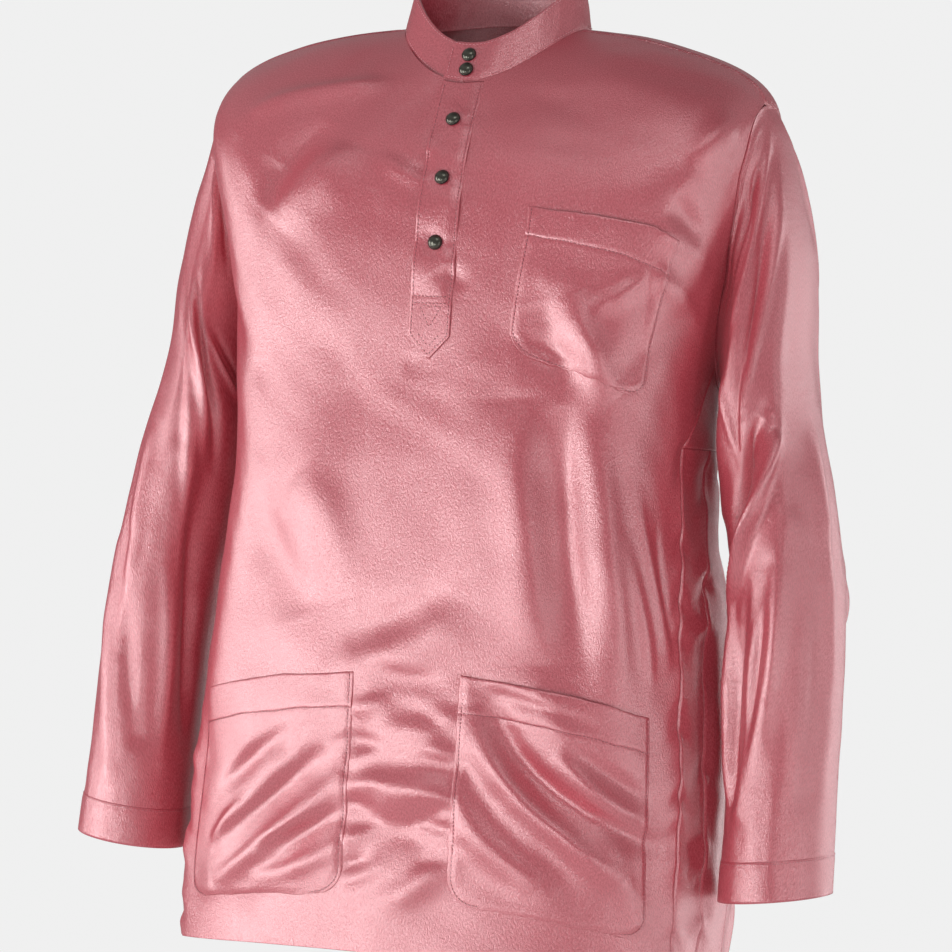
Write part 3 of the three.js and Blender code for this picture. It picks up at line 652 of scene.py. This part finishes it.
SLIT_FOOT = 0.68              # the slit down the front ends here, under the placket
v_rows = np.concatenate([rows_between(0, SLIT_FOOT)[:-1],
                         np.linspace(SLIT_FOOT, 1, int(0.32 * BODY_LENGTH / STEP))[:-4],
                         1 - np.array([5, 3, 1.5, 0.6, 0]) / BODY_LENGTH])
v_rows = np.unique(np.round(v_rows, 6))
slit_row = int(np.searchsorted(v_rows, SLIT_FOOT + 1e-6))
half = stations(0, 250, STEP)
half = half[np.searchsorted(half, 0.03):]
share = np.concatenate([-half[::-1], [0], half])
edge = seam_phi(v_rows, -1)
phi = share[None, :] * edge[:, None]
vv = v_rows[:, None]
p, n = body(phi, vv)
off = (edge[:, None] - np.abs(phi)) * per_degree(edge - 1, edge, v_rows)[:, None]
p = p + n * (edge_dip(off, 0.2) * smooth(1 - vv, 0.0, 0.01))[..., None]
front = wall("shirt_front", p, n, CLOTH, slit=(len(share) // 2, slit_row))
sheet_of(front, "body_front", p, panel=True)

# Back

cols = stations(0, 560, STEP * 1.12)
v_back = rows_between(0, 1, STEP * 1.12)
edge = np.where(v_back > ARM_TOP, seam_phi(v_back, -1), seam_phi(v_back, 1))
phi = edge[:, None] + (360 - 2 * edge)[:, None] * cols[None, :]
vv = v_back[:, None]
p, n = body(phi, vv)
off = np.minimum(phi - edge[:, None], 360 - edge[:, None] - phi)
off *= per_degree(edge + 1, edge, v_back)[:, None]
p = p + n * (edge_dip(off, np.where(vv > ARM_TOP, 0.9, 0.3)) * smooth(1 - vv, 0.0, 0.01))[..., None]
sheet_of(wall("shirt_back", p, n, CLOTH), "body_back", p, panel=True)

# Side gores

for side, s in SIDES:
    for face, k in (("front", 0), ("back", 1)):
        v_gore = rows_between(0, GUSSET_FOOT)
        seams = spline(GORES, v_gore)
        cols = stations(0, 52, STEP)
        phi = s * lerp(seams[:, k][:, None], seams[:, k + 1][:, None], cols[None, :])
        p, n = body(phi, v_gore[:, None])
        width = np.linalg.norm(p[:, -1] - p[:, 0], axis=-1)[:, None]
        off = np.minimum(cols, 1 - cols)[None, :] * width
        p = p + n * edge_dip(off, 0.3)[..., None]
        gore = wall(f"gore_{face}_{side}_cloth", p, n, CLOTH)
        sheet_of(gore, f"gore_{face}_{side}", p)

# Underarm gussets

for side, s in SIDES:
    share = stations(0, 104, STEP)
    w = stations(0, GUSSET_LENGTH, STEP)[:, None]
    front_seam, middle, back_seam = spline(GORES, GUSSET_FOOT)
    low = np.where(share < 0.5, lerp(front_seam, middle, share * 2), lerp(middle, back_seam, share * 2 - 1))
    horn = arm_theta(GUSSET_HORN)
    top, v_top = armhole(lerp(horn, 360 - horn, share))
    p, n = body(s * lerp(low[None, :], top[None, :], w), lerp(GUSSET_FOOT, v_top[None, :], w))
    width = np.linalg.norm(p[:, -1] - p[:, 0], axis=-1)[:, None]
    off = np.minimum(np.minimum(share, 1 - share)[None, :] * width, np.minimum(w, 1 - w) * GUSSET_LENGTH)
    p = p + n * edge_dip(off, 0.25)[..., None]
    sheet_of(wall(f"gusset_{side}_cloth", p, n, CLOTH), f"gusset_{side}", p)


# Sleeves

ring_theta = np.arange(0, 360, 0.5)
phi, vv = armhole(ring_theta)
# each armhole's edge as the body panels have it, sampled once and looked up
HOLES = {s: body(s * phi, vv)[0] * [s, 1, 1] for s in (1, -1)}


def hole(theta, side):
    at = (np.asarray(theta, float) % 360) / 0.5
    i = np.floor(at).astype(int)
    return lerp(HOLES[side][i % 720], HOLES[side][(i + 1) % 720], (at - i)[..., None])


def sleeve_form(theta, t, side):
    """A point of the smooth sleeve, which starts at the armhole's edge."""
    x_out, z_out, x_in, z_in, mid, depth = np.moveaxis(spline(SLEEVE, t), -1, 0)
    c, s = np.cos(rad(theta)), np.sin(rad(theta))
    tube = np.stack([(x_out + x_in) / 2 + (x_out - x_in) / 2 * c, mid - depth * s,
                     (z_out + z_in) / 2 + (z_out - z_in) / 2 * c], -1)
    return lerp(hole(theta, side), tube, smooth(t, 0, 0.2)[..., None])


def sleeve_relief(theta, t, side):
    fold = fold_height(SLEEVE_FOLDS[side], theta, t, SLEEVE_PER_DEGREE, SLEEVE_LENGTH)
    fold = fold * smooth(t, 0.01, 0.1) * (1 - 0.6 * smooth(t, 0.88, 1))
    turned = (np.asarray(theta, float) + 90) % 360 - 90
    fine = crease_height(SLEEVE_CREASES[side], turned, t, SLEEVE_PER_DEGREE, SLEEVE_LENGTH)
    x, z = np.cos(rad(theta)) * 1.6 + 5, t * SLEEVE_LENGTH
    fine += 0.8 * noise(x + 4 * side, z / 74 + 3, 31) + 0.3 * noise(x * 3, z / 28 + 2 * side + 9, 37)
    fine += 0.9 * noise(theta / 11.0, 7.5 + side, 41) * hump(z, 16)
    hem = np.abs(t - CUFF_HEM) * SLEEVE_LENGTH
    fine += 0.45 * noise(theta / 8.0, 3.5 + side, 43) * hump(hem, 10)
    return fold + 1.5 * fine * smooth(t, 0.0, 0.05) * (1 - 0.5 * smooth(t, 0.9, 1))


def sleeve(theta, t, side, lift=0.0):
    """A sleeve's point and its outward direction, which leans to the body's own at the crown."""
    ahead = sleeve_form(theta, np.minimum(t + 0.004, 1), side) - sleeve_form(
        theta, np.maximum(t - 0.004, 0), side)
    n = unit(np.cross(sleeve_form(theta + 1, t, side) - sleeve_form(theta - 1, t, side), ahead))
    crown = (smooth(np.cos(rad(theta)), 0.1, 0.5) * (1 - smooth(t, 0, 0.12)))[..., None]
    lean = unit(n * (1 - crown) + body_normal(*armhole(theta)) * crown)
    return sleeve_form(theta, t, side) + n * (sleeve_relief(theta, t, side) + lift)[..., None], lean


# each sleeve's own seam, and so its mesh's join, lies under the arm, at 180 degrees
theta = np.linspace(180, 540, int(470 / STEP), endpoint=False)
hem_mm = CUFF_HEM * SLEEVE_LENGTH
t_rows = np.unique(np.concatenate([
    stations(0, hem_mm, STEP) * hem_mm, [hem_mm - 0.4, hem_mm + 0.5],
    np.linspace(hem_mm, SLEEVE_LENGTH, 14)[1:]])) / SLEEVE_LENGTH
tt, th = np.meshgrid(t_rows, theta, indexing="ij")
for side, s in SIDES:
    hem = 0.7 * smooth(tt * SLEEVE_LENGTH, hem_mm - 0.3, hem_mm + 0.6)
    stitch = np.abs(tt - CUFF_HEM - 0.003) * SLEEVE_LENGTH
    p, n = sleeve(th, tt, s, hem - 0.35 * hump(stitch, 1.0))
    p = (p + n * edge_dip(tt * SLEEVE_LENGTH, 0.4)[..., None]) * [s, 1, 1]
    n = n * [s, 1, 1]
    tube = wall(f"sleeve_{side}_cloth", p, n, CLOTH, around=True, inset=-0.1)
    declare(tube, f"sleeve_{side}")


# Collar

COLLAR_END = -374             # where its lapping end lies, in degrees of turn
COLLAR_PER_DEGREE = 1.36
COLLAR_ROUND = 9.0            # radius of the lapping end's top corner
COLLAR_LOW = 1.3              # how far its foot reaches down behind the neck edge


def collar(turn, height, lift=0.0):
    """A point on the collar's face. Its first end passes under the lapping one."""
    edge = form(turn, 1.0)
    turn, height = np.broadcast_arrays(np.asarray(turn, float), np.asarray(height, float))
    c, s = np.cos(rad(turn)), np.sin(rad(turn))
    rise = unit(np.stack([-0.20 * s, 0.30 * np.maximum(c, 0) + 0.10 * c, np.ones(turn.shape)], -1))
    n = unit(np.cross(form(turn + 1, 1.0) - form(turn - 1, 1.0), rise))
    under = -(COLLAR_CLOTH + 0.6) * smooth(turn, -64, -16)
    return edge + rise * (SEAM + height)[..., None] + n * (under + lift)[..., None], n


turns = np.concatenate([np.linspace(14, COLLAR_END + 10, int(430 / 2.8)),
                        COLLAR_END + np.array([9, 8, 7, 6, 5, 4, 3, 2.2, 1.5, 0.9, 0.4, 0])])
ups = np.concatenate([[0, 0.015, 0.04], np.linspace(0.08, 0.92, 11), [0.96, 0.985, 1]])
from_end = np.maximum(COLLAR_ROUND - (turns - COLLAR_END) * COLLAR_PER_DEGREE, 0)
top = COLLAR_HEIGHT - COLLAR_ROUND + np.sqrt(np.maximum(COLLAR_ROUND ** 2 - from_end ** 2, 1))
hh = ups[:, None] * (top[None, :] + COLLAR_LOW) - COLLAR_LOW
tt = np.broadcast_to(turns[None, :], hh.shape)
wave = 0.5 * noise(tt / 9, hh / 22 + 3, 51) + 0.25 * noise(tt / 4, hh / 9, 53)
near = np.minimum(np.minimum((tt - COLLAR_END) * COLLAR_PER_DEGREE, top[None, :] - hh), hh + 0.6)
roll = -0.5 * hump(near, 1.0) - 0.22 * hump(near - 2.4, 0.7)
p, n = collar(tt, hh, wave + roll)
sheet_of(wall("collar_cloth", p, n, COLLAR_CLOTH, inset=0.05), "collar", p)


# Placket

PLACKET_TOP, PLACKET_SHOULDER, PLACKET_TIP = 0.995, 0.637, 0.612
CROSS = 0.681                 # the stitched line across, above the pointed foot
STUD_V = (0.93, 0.83, 0.745)


def bow(v):
    """The strip stands out a little between one fastening and the next."""
    out = np.zeros(np.shape(v))
    for low, high, tall in ((CROSS, 0.745, 2.0), (0.745, 0.83, 1.7), (0.83, 0.93, 1.5)):
        out += tall * np.sin(math.pi * np.clip((v - low) / (high - low), 0, 1)) ** 1.5
    return out


def on_placket(x, v, lift=0.0):
    """A point on the placket's face, x mm from its middle line."""
    sunk = -1.2 * smooth(x, 8, 16.5) * smooth(v, CROSS - 0.012, CROSS + 0.01)
    wave = 0.5 * noise(x / 30 + 2, v * BODY_LENGTH / 26, 63) + bow(v)
    wave = wave * smooth(v, 0.62, 0.68) * (1 - smooth(v, 0.97, 0.99))
    return body(x / per_degree(-0.5, 0.5, v), v, LAID + POCKET_CLOTH + sunk + wave + lift)


down = np.concatenate([np.linspace(PLACKET_TIP, PLACKET_SHOULDER, 9)[:-1],
                       np.linspace(PLACKET_SHOULDER, PLACKET_TOP, int(272 / (STEP * 0.55)))])
share_w = np.clip(0.05 + 0.95 * (down - PLACKET_TIP) / (PLACKET_SHOULDER - PLACKET_TIP), 0, 1)
side = stations(0, 2 * PLACKET_HALF, STEP * 0.5, (0, 0.5, 1.1, 1.8, 2.6)) * 2 - 1
x = PLACKET_HALF * side[None, :] * share_w[:, None]
vv = np.broadcast_to(down[:, None], x.shape)
# the folded edges roll, and the rows of stitches draw the cloth in
edge_off = PLACKET_HALF - np.abs(x)
dip = -0.45 * hump(edge_off, 0.8) - 0.18 * hump(edge_off - 2.2, 0.7)
for foot in (CROSS, CROSS - 6 / BODY_LENGTH):
    dip -= 0.22 * hump((vv - foot) * BODY_LENGTH, 0.9)
dip *= share_w[:, None]
for sv in STUD_V:
    up = (vv - sv) * BODY_LENGTH
    r = np.hypot(x, up)
    dip += -0.5 * hump(r, 8)
    dip += 0.35 * noise(np.arctan2(x, up) * 2 + 5, r / 9, 61) * hump(r - 11, 7)
p, n = on_placket(x, vv, dip)
sheet_of(wall("placket_cloth", p, n, POCKET_CLOTH, inset=0), "placket", p)


# Pockets

def pocket_shape(phi0, phi1, top, low, corner, band, width, gape, seed):
    """A pocket's numbers: top and low give v at its near and far side, gape says how far its mouth opens."""
    mid = (phi0 + phi1) / 2
    tall = form(mid, lerp(top[0], top[1], 0.5)) - form(mid, lerp(low[0], low[1], 0.5))
    return SimpleNamespace(phi0=phi0, phi1=phi1, top=top, low=low, corner=corner, band=band, width=width,
                           gape=gape, seed=seed, height=float(np.linalg.norm(tall)))


def on_pocket(q, a, up, lift):
    """A point on a pocket's face, at share a across and up mm above its foot, drawn in at the rounded
    corners."""
    inset = q.corner - np.sqrt(np.maximum(q.corner ** 2 - np.maximum(q.corner - up, 0) ** 2, 0))
    wander = noise(a * 8 + q.seed, up / 30, q.seed + 3) + 0.5 * noise(a * 21, up / 9, q.seed + 5)
    b = (up + 0.8 * wander) / q.height

    def row(k):
        return lerp(lerp(q.low[0], q.low[1], k), lerp(q.top[0], q.top[1], k), b)
    here = lerp(q.phi0, q.phi1, a)
    squeeze = np.sign(q.phi1 - q.phi0) * inset / per_degree(here - 0.5, here + 0.5, row(a))
    phi = lerp(q.phi0 + squeeze, q.phi1 - squeeze, a)
    v = row((phi - q.phi0) / (q.phi1 - q.phi0))
    mouth = q.gape * np.sin(math.pi * a) ** 2 * smooth(up / q.height, 0.55, 1)
    side_off = np.minimum(a, 1 - a) * q.width
    flush = -0.75 * hump(side_off, 4) * smooth(up, 0, q.corner)
    return body(phi, v, POCKET_STANDS + POCKET_CLOTH + mouth + flush + lift)


POCKETS = {
    "pocket_chest": pocket_shape(14.5, 50, (0.786, 0.713), (0.622, 0.568), 22, 26, 126, 1.6, 71),
    "pocket_lower_left": pocket_shape(9.75, 54, (0.284, 0.276), (0.056, 0.047), 20, 28, 150, 2.6, 77),
    "pocket_lower_right": pocket_shape(-9.75, -54, (0.280, 0.272), (0.055, 0.045), 20, 28, 150, 1.8, 83),
}
POCKET_STANDS = 0.5           # how far a pocket stands off the panel
for node, q in POCKETS.items():
    r, hem = q.corner, q.height - q.band
    ups = np.unique(np.round(np.concatenate([
        r * (1 - np.cos(np.linspace(0, math.pi / 2, 9))), np.arange(r + 2.4, hem - 2, STEP * 0.72),
        hem + np.array([-1.6, -0.8, 0, 0.8, 1.6]), np.arange(hem + 4, q.height - 2.5, STEP * 0.72),
        q.height - np.array([2.0, 1.2, 0.5, 0])]), 3))
    aa, uu = np.meshgrid(stations(0, q.width, STEP * 0.72, (0, 0.5, 1.1, 1.8, 2.6, 3.6)), ups)
    side_off = np.minimum(aa, 1 - aa) * q.width
    off = np.minimum(side_off, uu + 0.2)
    corner_off = np.where(uu < r, r - np.hypot(np.maximum(r - side_off, 0), r - uu), off)
    off = np.minimum(off, np.maximum(corner_off, 0))
    # rolled edges and their stitches, the hem band, the mouth's edge, and puckers along them
    fold = -0.42 * hump(off, 0.8) - 0.28 * hump(off - 2.2, 0.8)
    fold += 0.30 * hump(off - 4.6, 1.8)
    fold += -0.30 * hump(uu - hem, 0.9) + 0.35 * smooth(uu, hem, hem + 1)
    fold += -0.5 * hump(q.height - uu, 0.8)
    pucker = noise((uu + 0.6 * side_off) / 12 + q.seed, np.where(aa < 0.5, 2.5, 7.5), q.seed)
    fold += 0.7 * np.maximum(pucker, -0.4) * hump(off - 5, 6)
    edge_wave = noise(aa * 9 + q.seed, uu / 40, q.seed + 1)
    fold += 0.5 * np.maximum(edge_wave, -0.5) * hump(q.height - uu, 9)
    p, n = on_pocket(q, aa, uu, fold)
    sheet_of(wall(f"{node}_cloth", p, n, POCKET_CLOTH, inset=0), node, p)

# Studs: fine domes with a thin dark rim

STUD_PROFILE = [
    # radius, height
    (5.0, 0.0), (5.7, 0.12), (5.95, 0.4), (6.0, 0.8), (5.9, 1.15), (5.6, 1.35), (5.35, 1.38), (5.25, 1.55),
    (5.1, 1.95), (4.75, 2.45), (4.2, 2.95), (3.4, 3.42), (2.4, 3.78), (1.2, 4.02),
]
STUD_TOP, STUD_RIM, STUD_SIDES = 4.1, 1.45, 40
places = [collar(-360.0, h, 0.35) for h in (23, 9.6)]
places += [body(0.0, v, LAID + POCKET_CLOTH + 0.15) for v in STUD_V]
for k, (q, m) in enumerate(places, 1):
    turn = np.linspace(0, 2 * math.pi, STUD_SIDES, endpoint=False)
    side_x = unit(np.cross([0, 0, 1.0], m))
    side_z = np.cross(m, side_x)
    verts, faces = [q], []
    for r, h in STUD_PROFILE:
        verts += list(q + m * h + r * (np.cos(turn)[:, None] * side_x + np.sin(turn)[:, None] * side_z))
    verts.append(q + m * STUD_TOP)
    last = STUD_SIDES * (len(STUD_PROFILE) - 1)
    for j in range(STUD_SIDES):
        a, b = 1 + j, 1 + (j + 1) % STUD_SIDES
        faces.append((0, b, a))
        for up in range(0, last, STUD_SIDES):
            faces.append((a + up, b + up, b + up + STUD_SIDES, a + up + STUD_SIDES))
        faces.append((a + last, b + last, len(verts) - 1))
    stud = mesh_object(f"stud_{k}_dome", verts, faces, materials=(metal, rim_metal))
    for f in stud.data.polygons:
        centre = np.mean([verts[i] for i in f.vertices], axis=0) - q
        f.material_index = 1 if centre @ m < STUD_RIM else 0
    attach(stud, "root")
    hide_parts(f"stud_{k}")

# Stitches: short rows of thread laid on the cloth, and the three upright buttonholes under the studs

threads = {"stitches": ([], []), "stitches_collar_painted_highlight": ([], [])}
THREAD_SIDES = 6


def stitch_row(line, name="stitches", long=2.3, gap=0.8, radius=0.28, sink=0.04):
    """Stitches along a line, given as its points and outward directions."""
    p, n = line
    verts, faces = threads[name]
    at = np.concatenate([[0], np.cumsum(np.linalg.norm(np.diff(p, axis=0), axis=1))])

    def along(values, s):
        return np.array([np.interp(s, at, values[:, k]) for k in range(3)])
    start = gap
    while start + long < at[-1]:
        spots = [start, start + long / 2, start + long]
        first, middle, last = [along(p, s) for s in spots]
        start += long + gap
        base = len(verts)
        d, up = unit(last - first), unit(along(n, spots[1]))
        right = unit(np.cross(d, up))
        verts.append(first - up * 0.15)
        for c, lift, r in ((first + d * 0.25, 0.0, 0.7), (middle, 0.14, 1.0), (last - d * 0.25, 0.0, 0.7)):
            for w in range(THREAD_SIDES):
                a = w * 2 * math.pi / THREAD_SIDES
                verts.append(c + up * (lift - sink) + radius * r * (right * math.cos(a) + up * math.sin(a)))
        verts.append(last - up * 0.15)
        for w in range(THREAD_SIDES):
            x, y = base + 1 + w, base + 1 + (w + 1) % THREAD_SIDES
            faces.append((base, x, y))
            for ring_at in (0, THREAD_SIDES):
                low = THREAD_SIDES + ring_at
                faces.append((x + ring_at, x + low, y + low, y + ring_at))
            faces.append((x + 2 * THREAD_SIDES, base + 3 * THREAD_SIDES + 1, y + 2 * THREAD_SIDES))


INSET = 2.2                   # the pockets' stitches lie this far inside their edge
for q in POCKETS.values():
    h, r = q.height, q.corner
    stitch_row(on_pocket(q, np.linspace(0.016, 0.984, 60), np.full(60, h - q.band), 0.07))
    turn = np.linspace(0, math.pi / 2, 12)[1:]
    line_up = np.concatenate([np.linspace(h - 1, r, 40), r - (r - INSET) * np.sin(turn)])
    line_in = np.concatenate([np.full(40, INSET), r - (r - INSET) * np.cos(turn)])
    up = np.concatenate([line_up, line_up[::-1]])
    across = np.concatenate([line_in, q.width - line_in[::-1]]) / q.width
    shrink = (r - np.sqrt(np.maximum(r * r - np.maximum(r - up, 0) ** 2, 0))) / q.width
    a = (across - shrink) / np.maximum(1 - 2 * shrink, 0.2)
    stitch_row(on_pocket(q, np.clip(a, 0, 1), up, 0.10))

for x in (-15.3, 15.3):
    stitch_row(on_placket(x, np.linspace(PLACKET_SHOULDER, 0.992, 120), -0.1))
for v in (CROSS, CROSS - 6 / BODY_LENGTH):
    stitch_row(on_placket(np.linspace(-15, 15, 12), np.full(12, v), -0.05))
tip = [(-15.2, PLACKET_SHOULDER + 0.001), (0, PLACKET_TIP + 0.004), (15.2, PLACKET_SHOULDER + 0.001)]
inner = [(-9.5, PLACKET_SHOULDER + 0.003), (0, PLACKET_TIP + 0.013), (9.5, PLACKET_SHOULDER + 0.003)]
mark = [(-9, CROSS - 0.011), (0, CROSS - 0.034), (9, CROSS - 0.011), (-9, CROSS - 0.011)]
for line in (tip, inner, mark):
    for (x0, v0), (x1, v1) in zip(line, line[1:]):
        k = np.linspace(0, 1, 31)
        stitch_row(on_placket(lerp(x0, x1, k), lerp(v0, v1, k), -0.05))

for sv in STUD_V:
    v = np.linspace(sv - 10.5 / BODY_LENGTH, sv + 7.5 / BODY_LENGTH, 12)
    for x in (-0.55, 0.55):
        stitch_row(on_placket(x, v, -0.05), long=17.0, gap=0.3, radius=0.5)
turn = np.linspace(COLLAR_END + 2, 12, 260)
for up in (COLLAR_HEIGHT - 2.4, 2.2):
    # the collar's stitches go to their own mesh, which takes the paler thread with its painted highlight
    stitch_row(collar(turn, up), "stitches_collar_painted_highlight")
stitch_row(collar(COLLAR_END + 1.8, np.linspace(2, COLLAR_HEIGHT - 8, 14)), "stitches_collar_painted_highlight")

for s in (1, -1):
    q, m = sleeve(np.linspace(180, 540, 220), np.full(220, CUFF_HEM + 0.003), s, 0.3)
    stitch_row((q * [s, 1, 1], m * [s, 1, 1]))
    v = np.linspace(0.81, 0.985, 60)
    stitch_row(body(s * (seam_phi(v, -1) + 0.7), v, 0.5))

# the collar's stitches get the paler thread, whose colour is a painted highlight, and all others the rose
# thread
for name, colour in (("stitches", thread), ("stitches_collar_painted_highlight", thread_painted_highlight)):
    stitches = mesh_object(name, *threads[name], materials=(colour,))
    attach(stitches, "root")

# Camera, lights and backdrop

AZ, ROLL, DIST, PX_PER_MM, NECK_PX, PICTURE = 20, 3, 2.7, 1.21, (500, 30), 952
az, roll = math.radians(AZ), math.radians(ROLL)
away = Vector((math.sin(az), -math.cos(az), 0))
right = Vector((math.cos(az), math.sin(az), 0))
up = away.cross(right)
cam_right = right * math.cos(roll) + up * math.sin(roll)
cam_up = -right * math.sin(roll) + up * math.cos(roll)
target = -0.001 / PX_PER_MM * (cam_right * (NECK_PX[0] - PICTURE / 2) + cam_up * (PICTURE / 2 - NECK_PX[1]))
cam = bpy.data.objects.new("camera", bpy.data.cameras.new("camera"))
scene = bpy.context.scene
scene.collection.objects.link(cam)
cam.data.sensor_width = 36
cam.data.lens = 36 * PX_PER_MM * DIST * 1000 / PICTURE
rot = Matrix((cam_right, cam_up, away)).transposed().to_4x4()
cam.matrix_world = Matrix.Translation(target + away * DIST) @ rot
cam.data.clip_start, cam.data.clip_end = 0.1, 50
scene.camera = cam

# Bright narrow boxes that the gloss mirrors, then broad soft ones that only light the cloth's own colour
LIGHTS = [
    # name, azimuth, elevation, distance, width, height, watts, mirrored
    ("strip_left", -74, -4, 2.6, 0.8, 1.8, 23, True),
    ("strip_mid", -34, -8, 2.6, 0.7, 1.4, 19, True),
    ("strip_front", -6, -15, 3.0, 0.6, 0.7, 7, True),
    ("strip_right", 62, -8, 2.8, 0.6, 1.5, 8, True),
    ("side_right", 108, -4, 2.4, 0.6, 2.0, 7, True),
    ("side_back", 150, -5, 2.4, 0.7, 2.0, 14, True),
    ("high_front", 22, 44, 3.0, 1.3, 0.6, 7, True),
    ("soft_left", -40, -10, 3.0, 2.0, 1.8, 4, False),
    ("soft_front", 26, -14, 3.0, 1.4, 1.6, 17, False),
]
for name, azimuth, elevation, distance, wide, tall, watts, mirrored in LIGHTS:
    a, e = math.radians(azimuth), math.radians(elevation)
    light = bpy.data.lights.new(name, "AREA")
    light.shape = "RECTANGLE"
    light.size, light.size_y = wide, tall
    light.energy = watts
    obj = bpy.data.objects.new(name, light)
    scene.collection.objects.link(obj)
    way = Vector((math.sin(a) * math.cos(e), -math.cos(a) * math.cos(e), math.sin(e)))
    obj.location = Vector((0, 0, -0.36)) + way * distance
    obj.rotation_mode = "QUATERNION"
    obj.rotation_quaternion = way.to_track_quat("Z", "Y")
    obj.visible_glossy = mirrored

# The room brightens towards the floor, and the camera sees it plain
world = bpy.data.worlds.new("studio")
scene.world = world
world.use_nodes = True
nodes = world.node_tree.nodes
nodes.clear()
out, path, where, parts = [nodes.new("ShaderNode" + kind) for kind in (
    "OutputWorld", "LightPath", "TexCoord", "SeparateXYZ")]
height = add_node(nodes, "MapRange", {"From Min": -1, "From Max": 1})
glow = nodes.new("ShaderNodeValToRGB")
for stop, colour in zip(glow.color_ramp.elements, ((0.60, 0.57, 0.57, 1), (0.12, 0.11, 0.11, 1))):
    stop.color = colour
for position, bright in ((0.40, 0.40), (0.52, 0.22), (0.64, 0.22), (0.85, 0.44)):
    glow.color_ramp.elements.new(position).color = (bright, bright * 0.95, bright * 0.95, 1)
room = nodes.new("ShaderNodeBackground")
seen = add_node(nodes, "Background", {"Color": (0.87, 0.87, 0.87, 1)})
pick = nodes.new("ShaderNodeMixShader")
join(where, "Generated", parts, 0)
join(parts, "Z", height, "Value")
join(height, "Result", glow, "Fac")
join(glow, "Color", room, "Color")
join(path, "Is Camera Ray", pick, 0)
join(room, 0, pick, 1)
join(seen, 0, pick, 2)
join(pick, 0, out, "Surface")

# A pale even floor, well below the hem, that the cloth doesn't see

FLOOR_HALF, FLOOR_Z = 3000, -1450
pale, nodes, _ = new_material("floor_pale", {})
nodes.clear()
even = add_node(nodes, "Emission", {"Color": (0.74, 0.74, 0.74, 1)})
join(even, 0, nodes.new("ShaderNodeOutputMaterial"), "Surface")
corners = [(x * FLOOR_HALF, y * FLOOR_HALF, FLOOR_Z) for x, y in ((1, 1), (-1, 1), (-1, -1), (1, -1))]
floor = mesh_object("floor", corners, [(0, 1, 2, 3)], materials=(pale,))
floor.visible_diffuse = floor.visible_glossy = floor.visible_shadow = False

scene.view_settings.view_transform = "Standard"
scene.view_settings.look = "None"
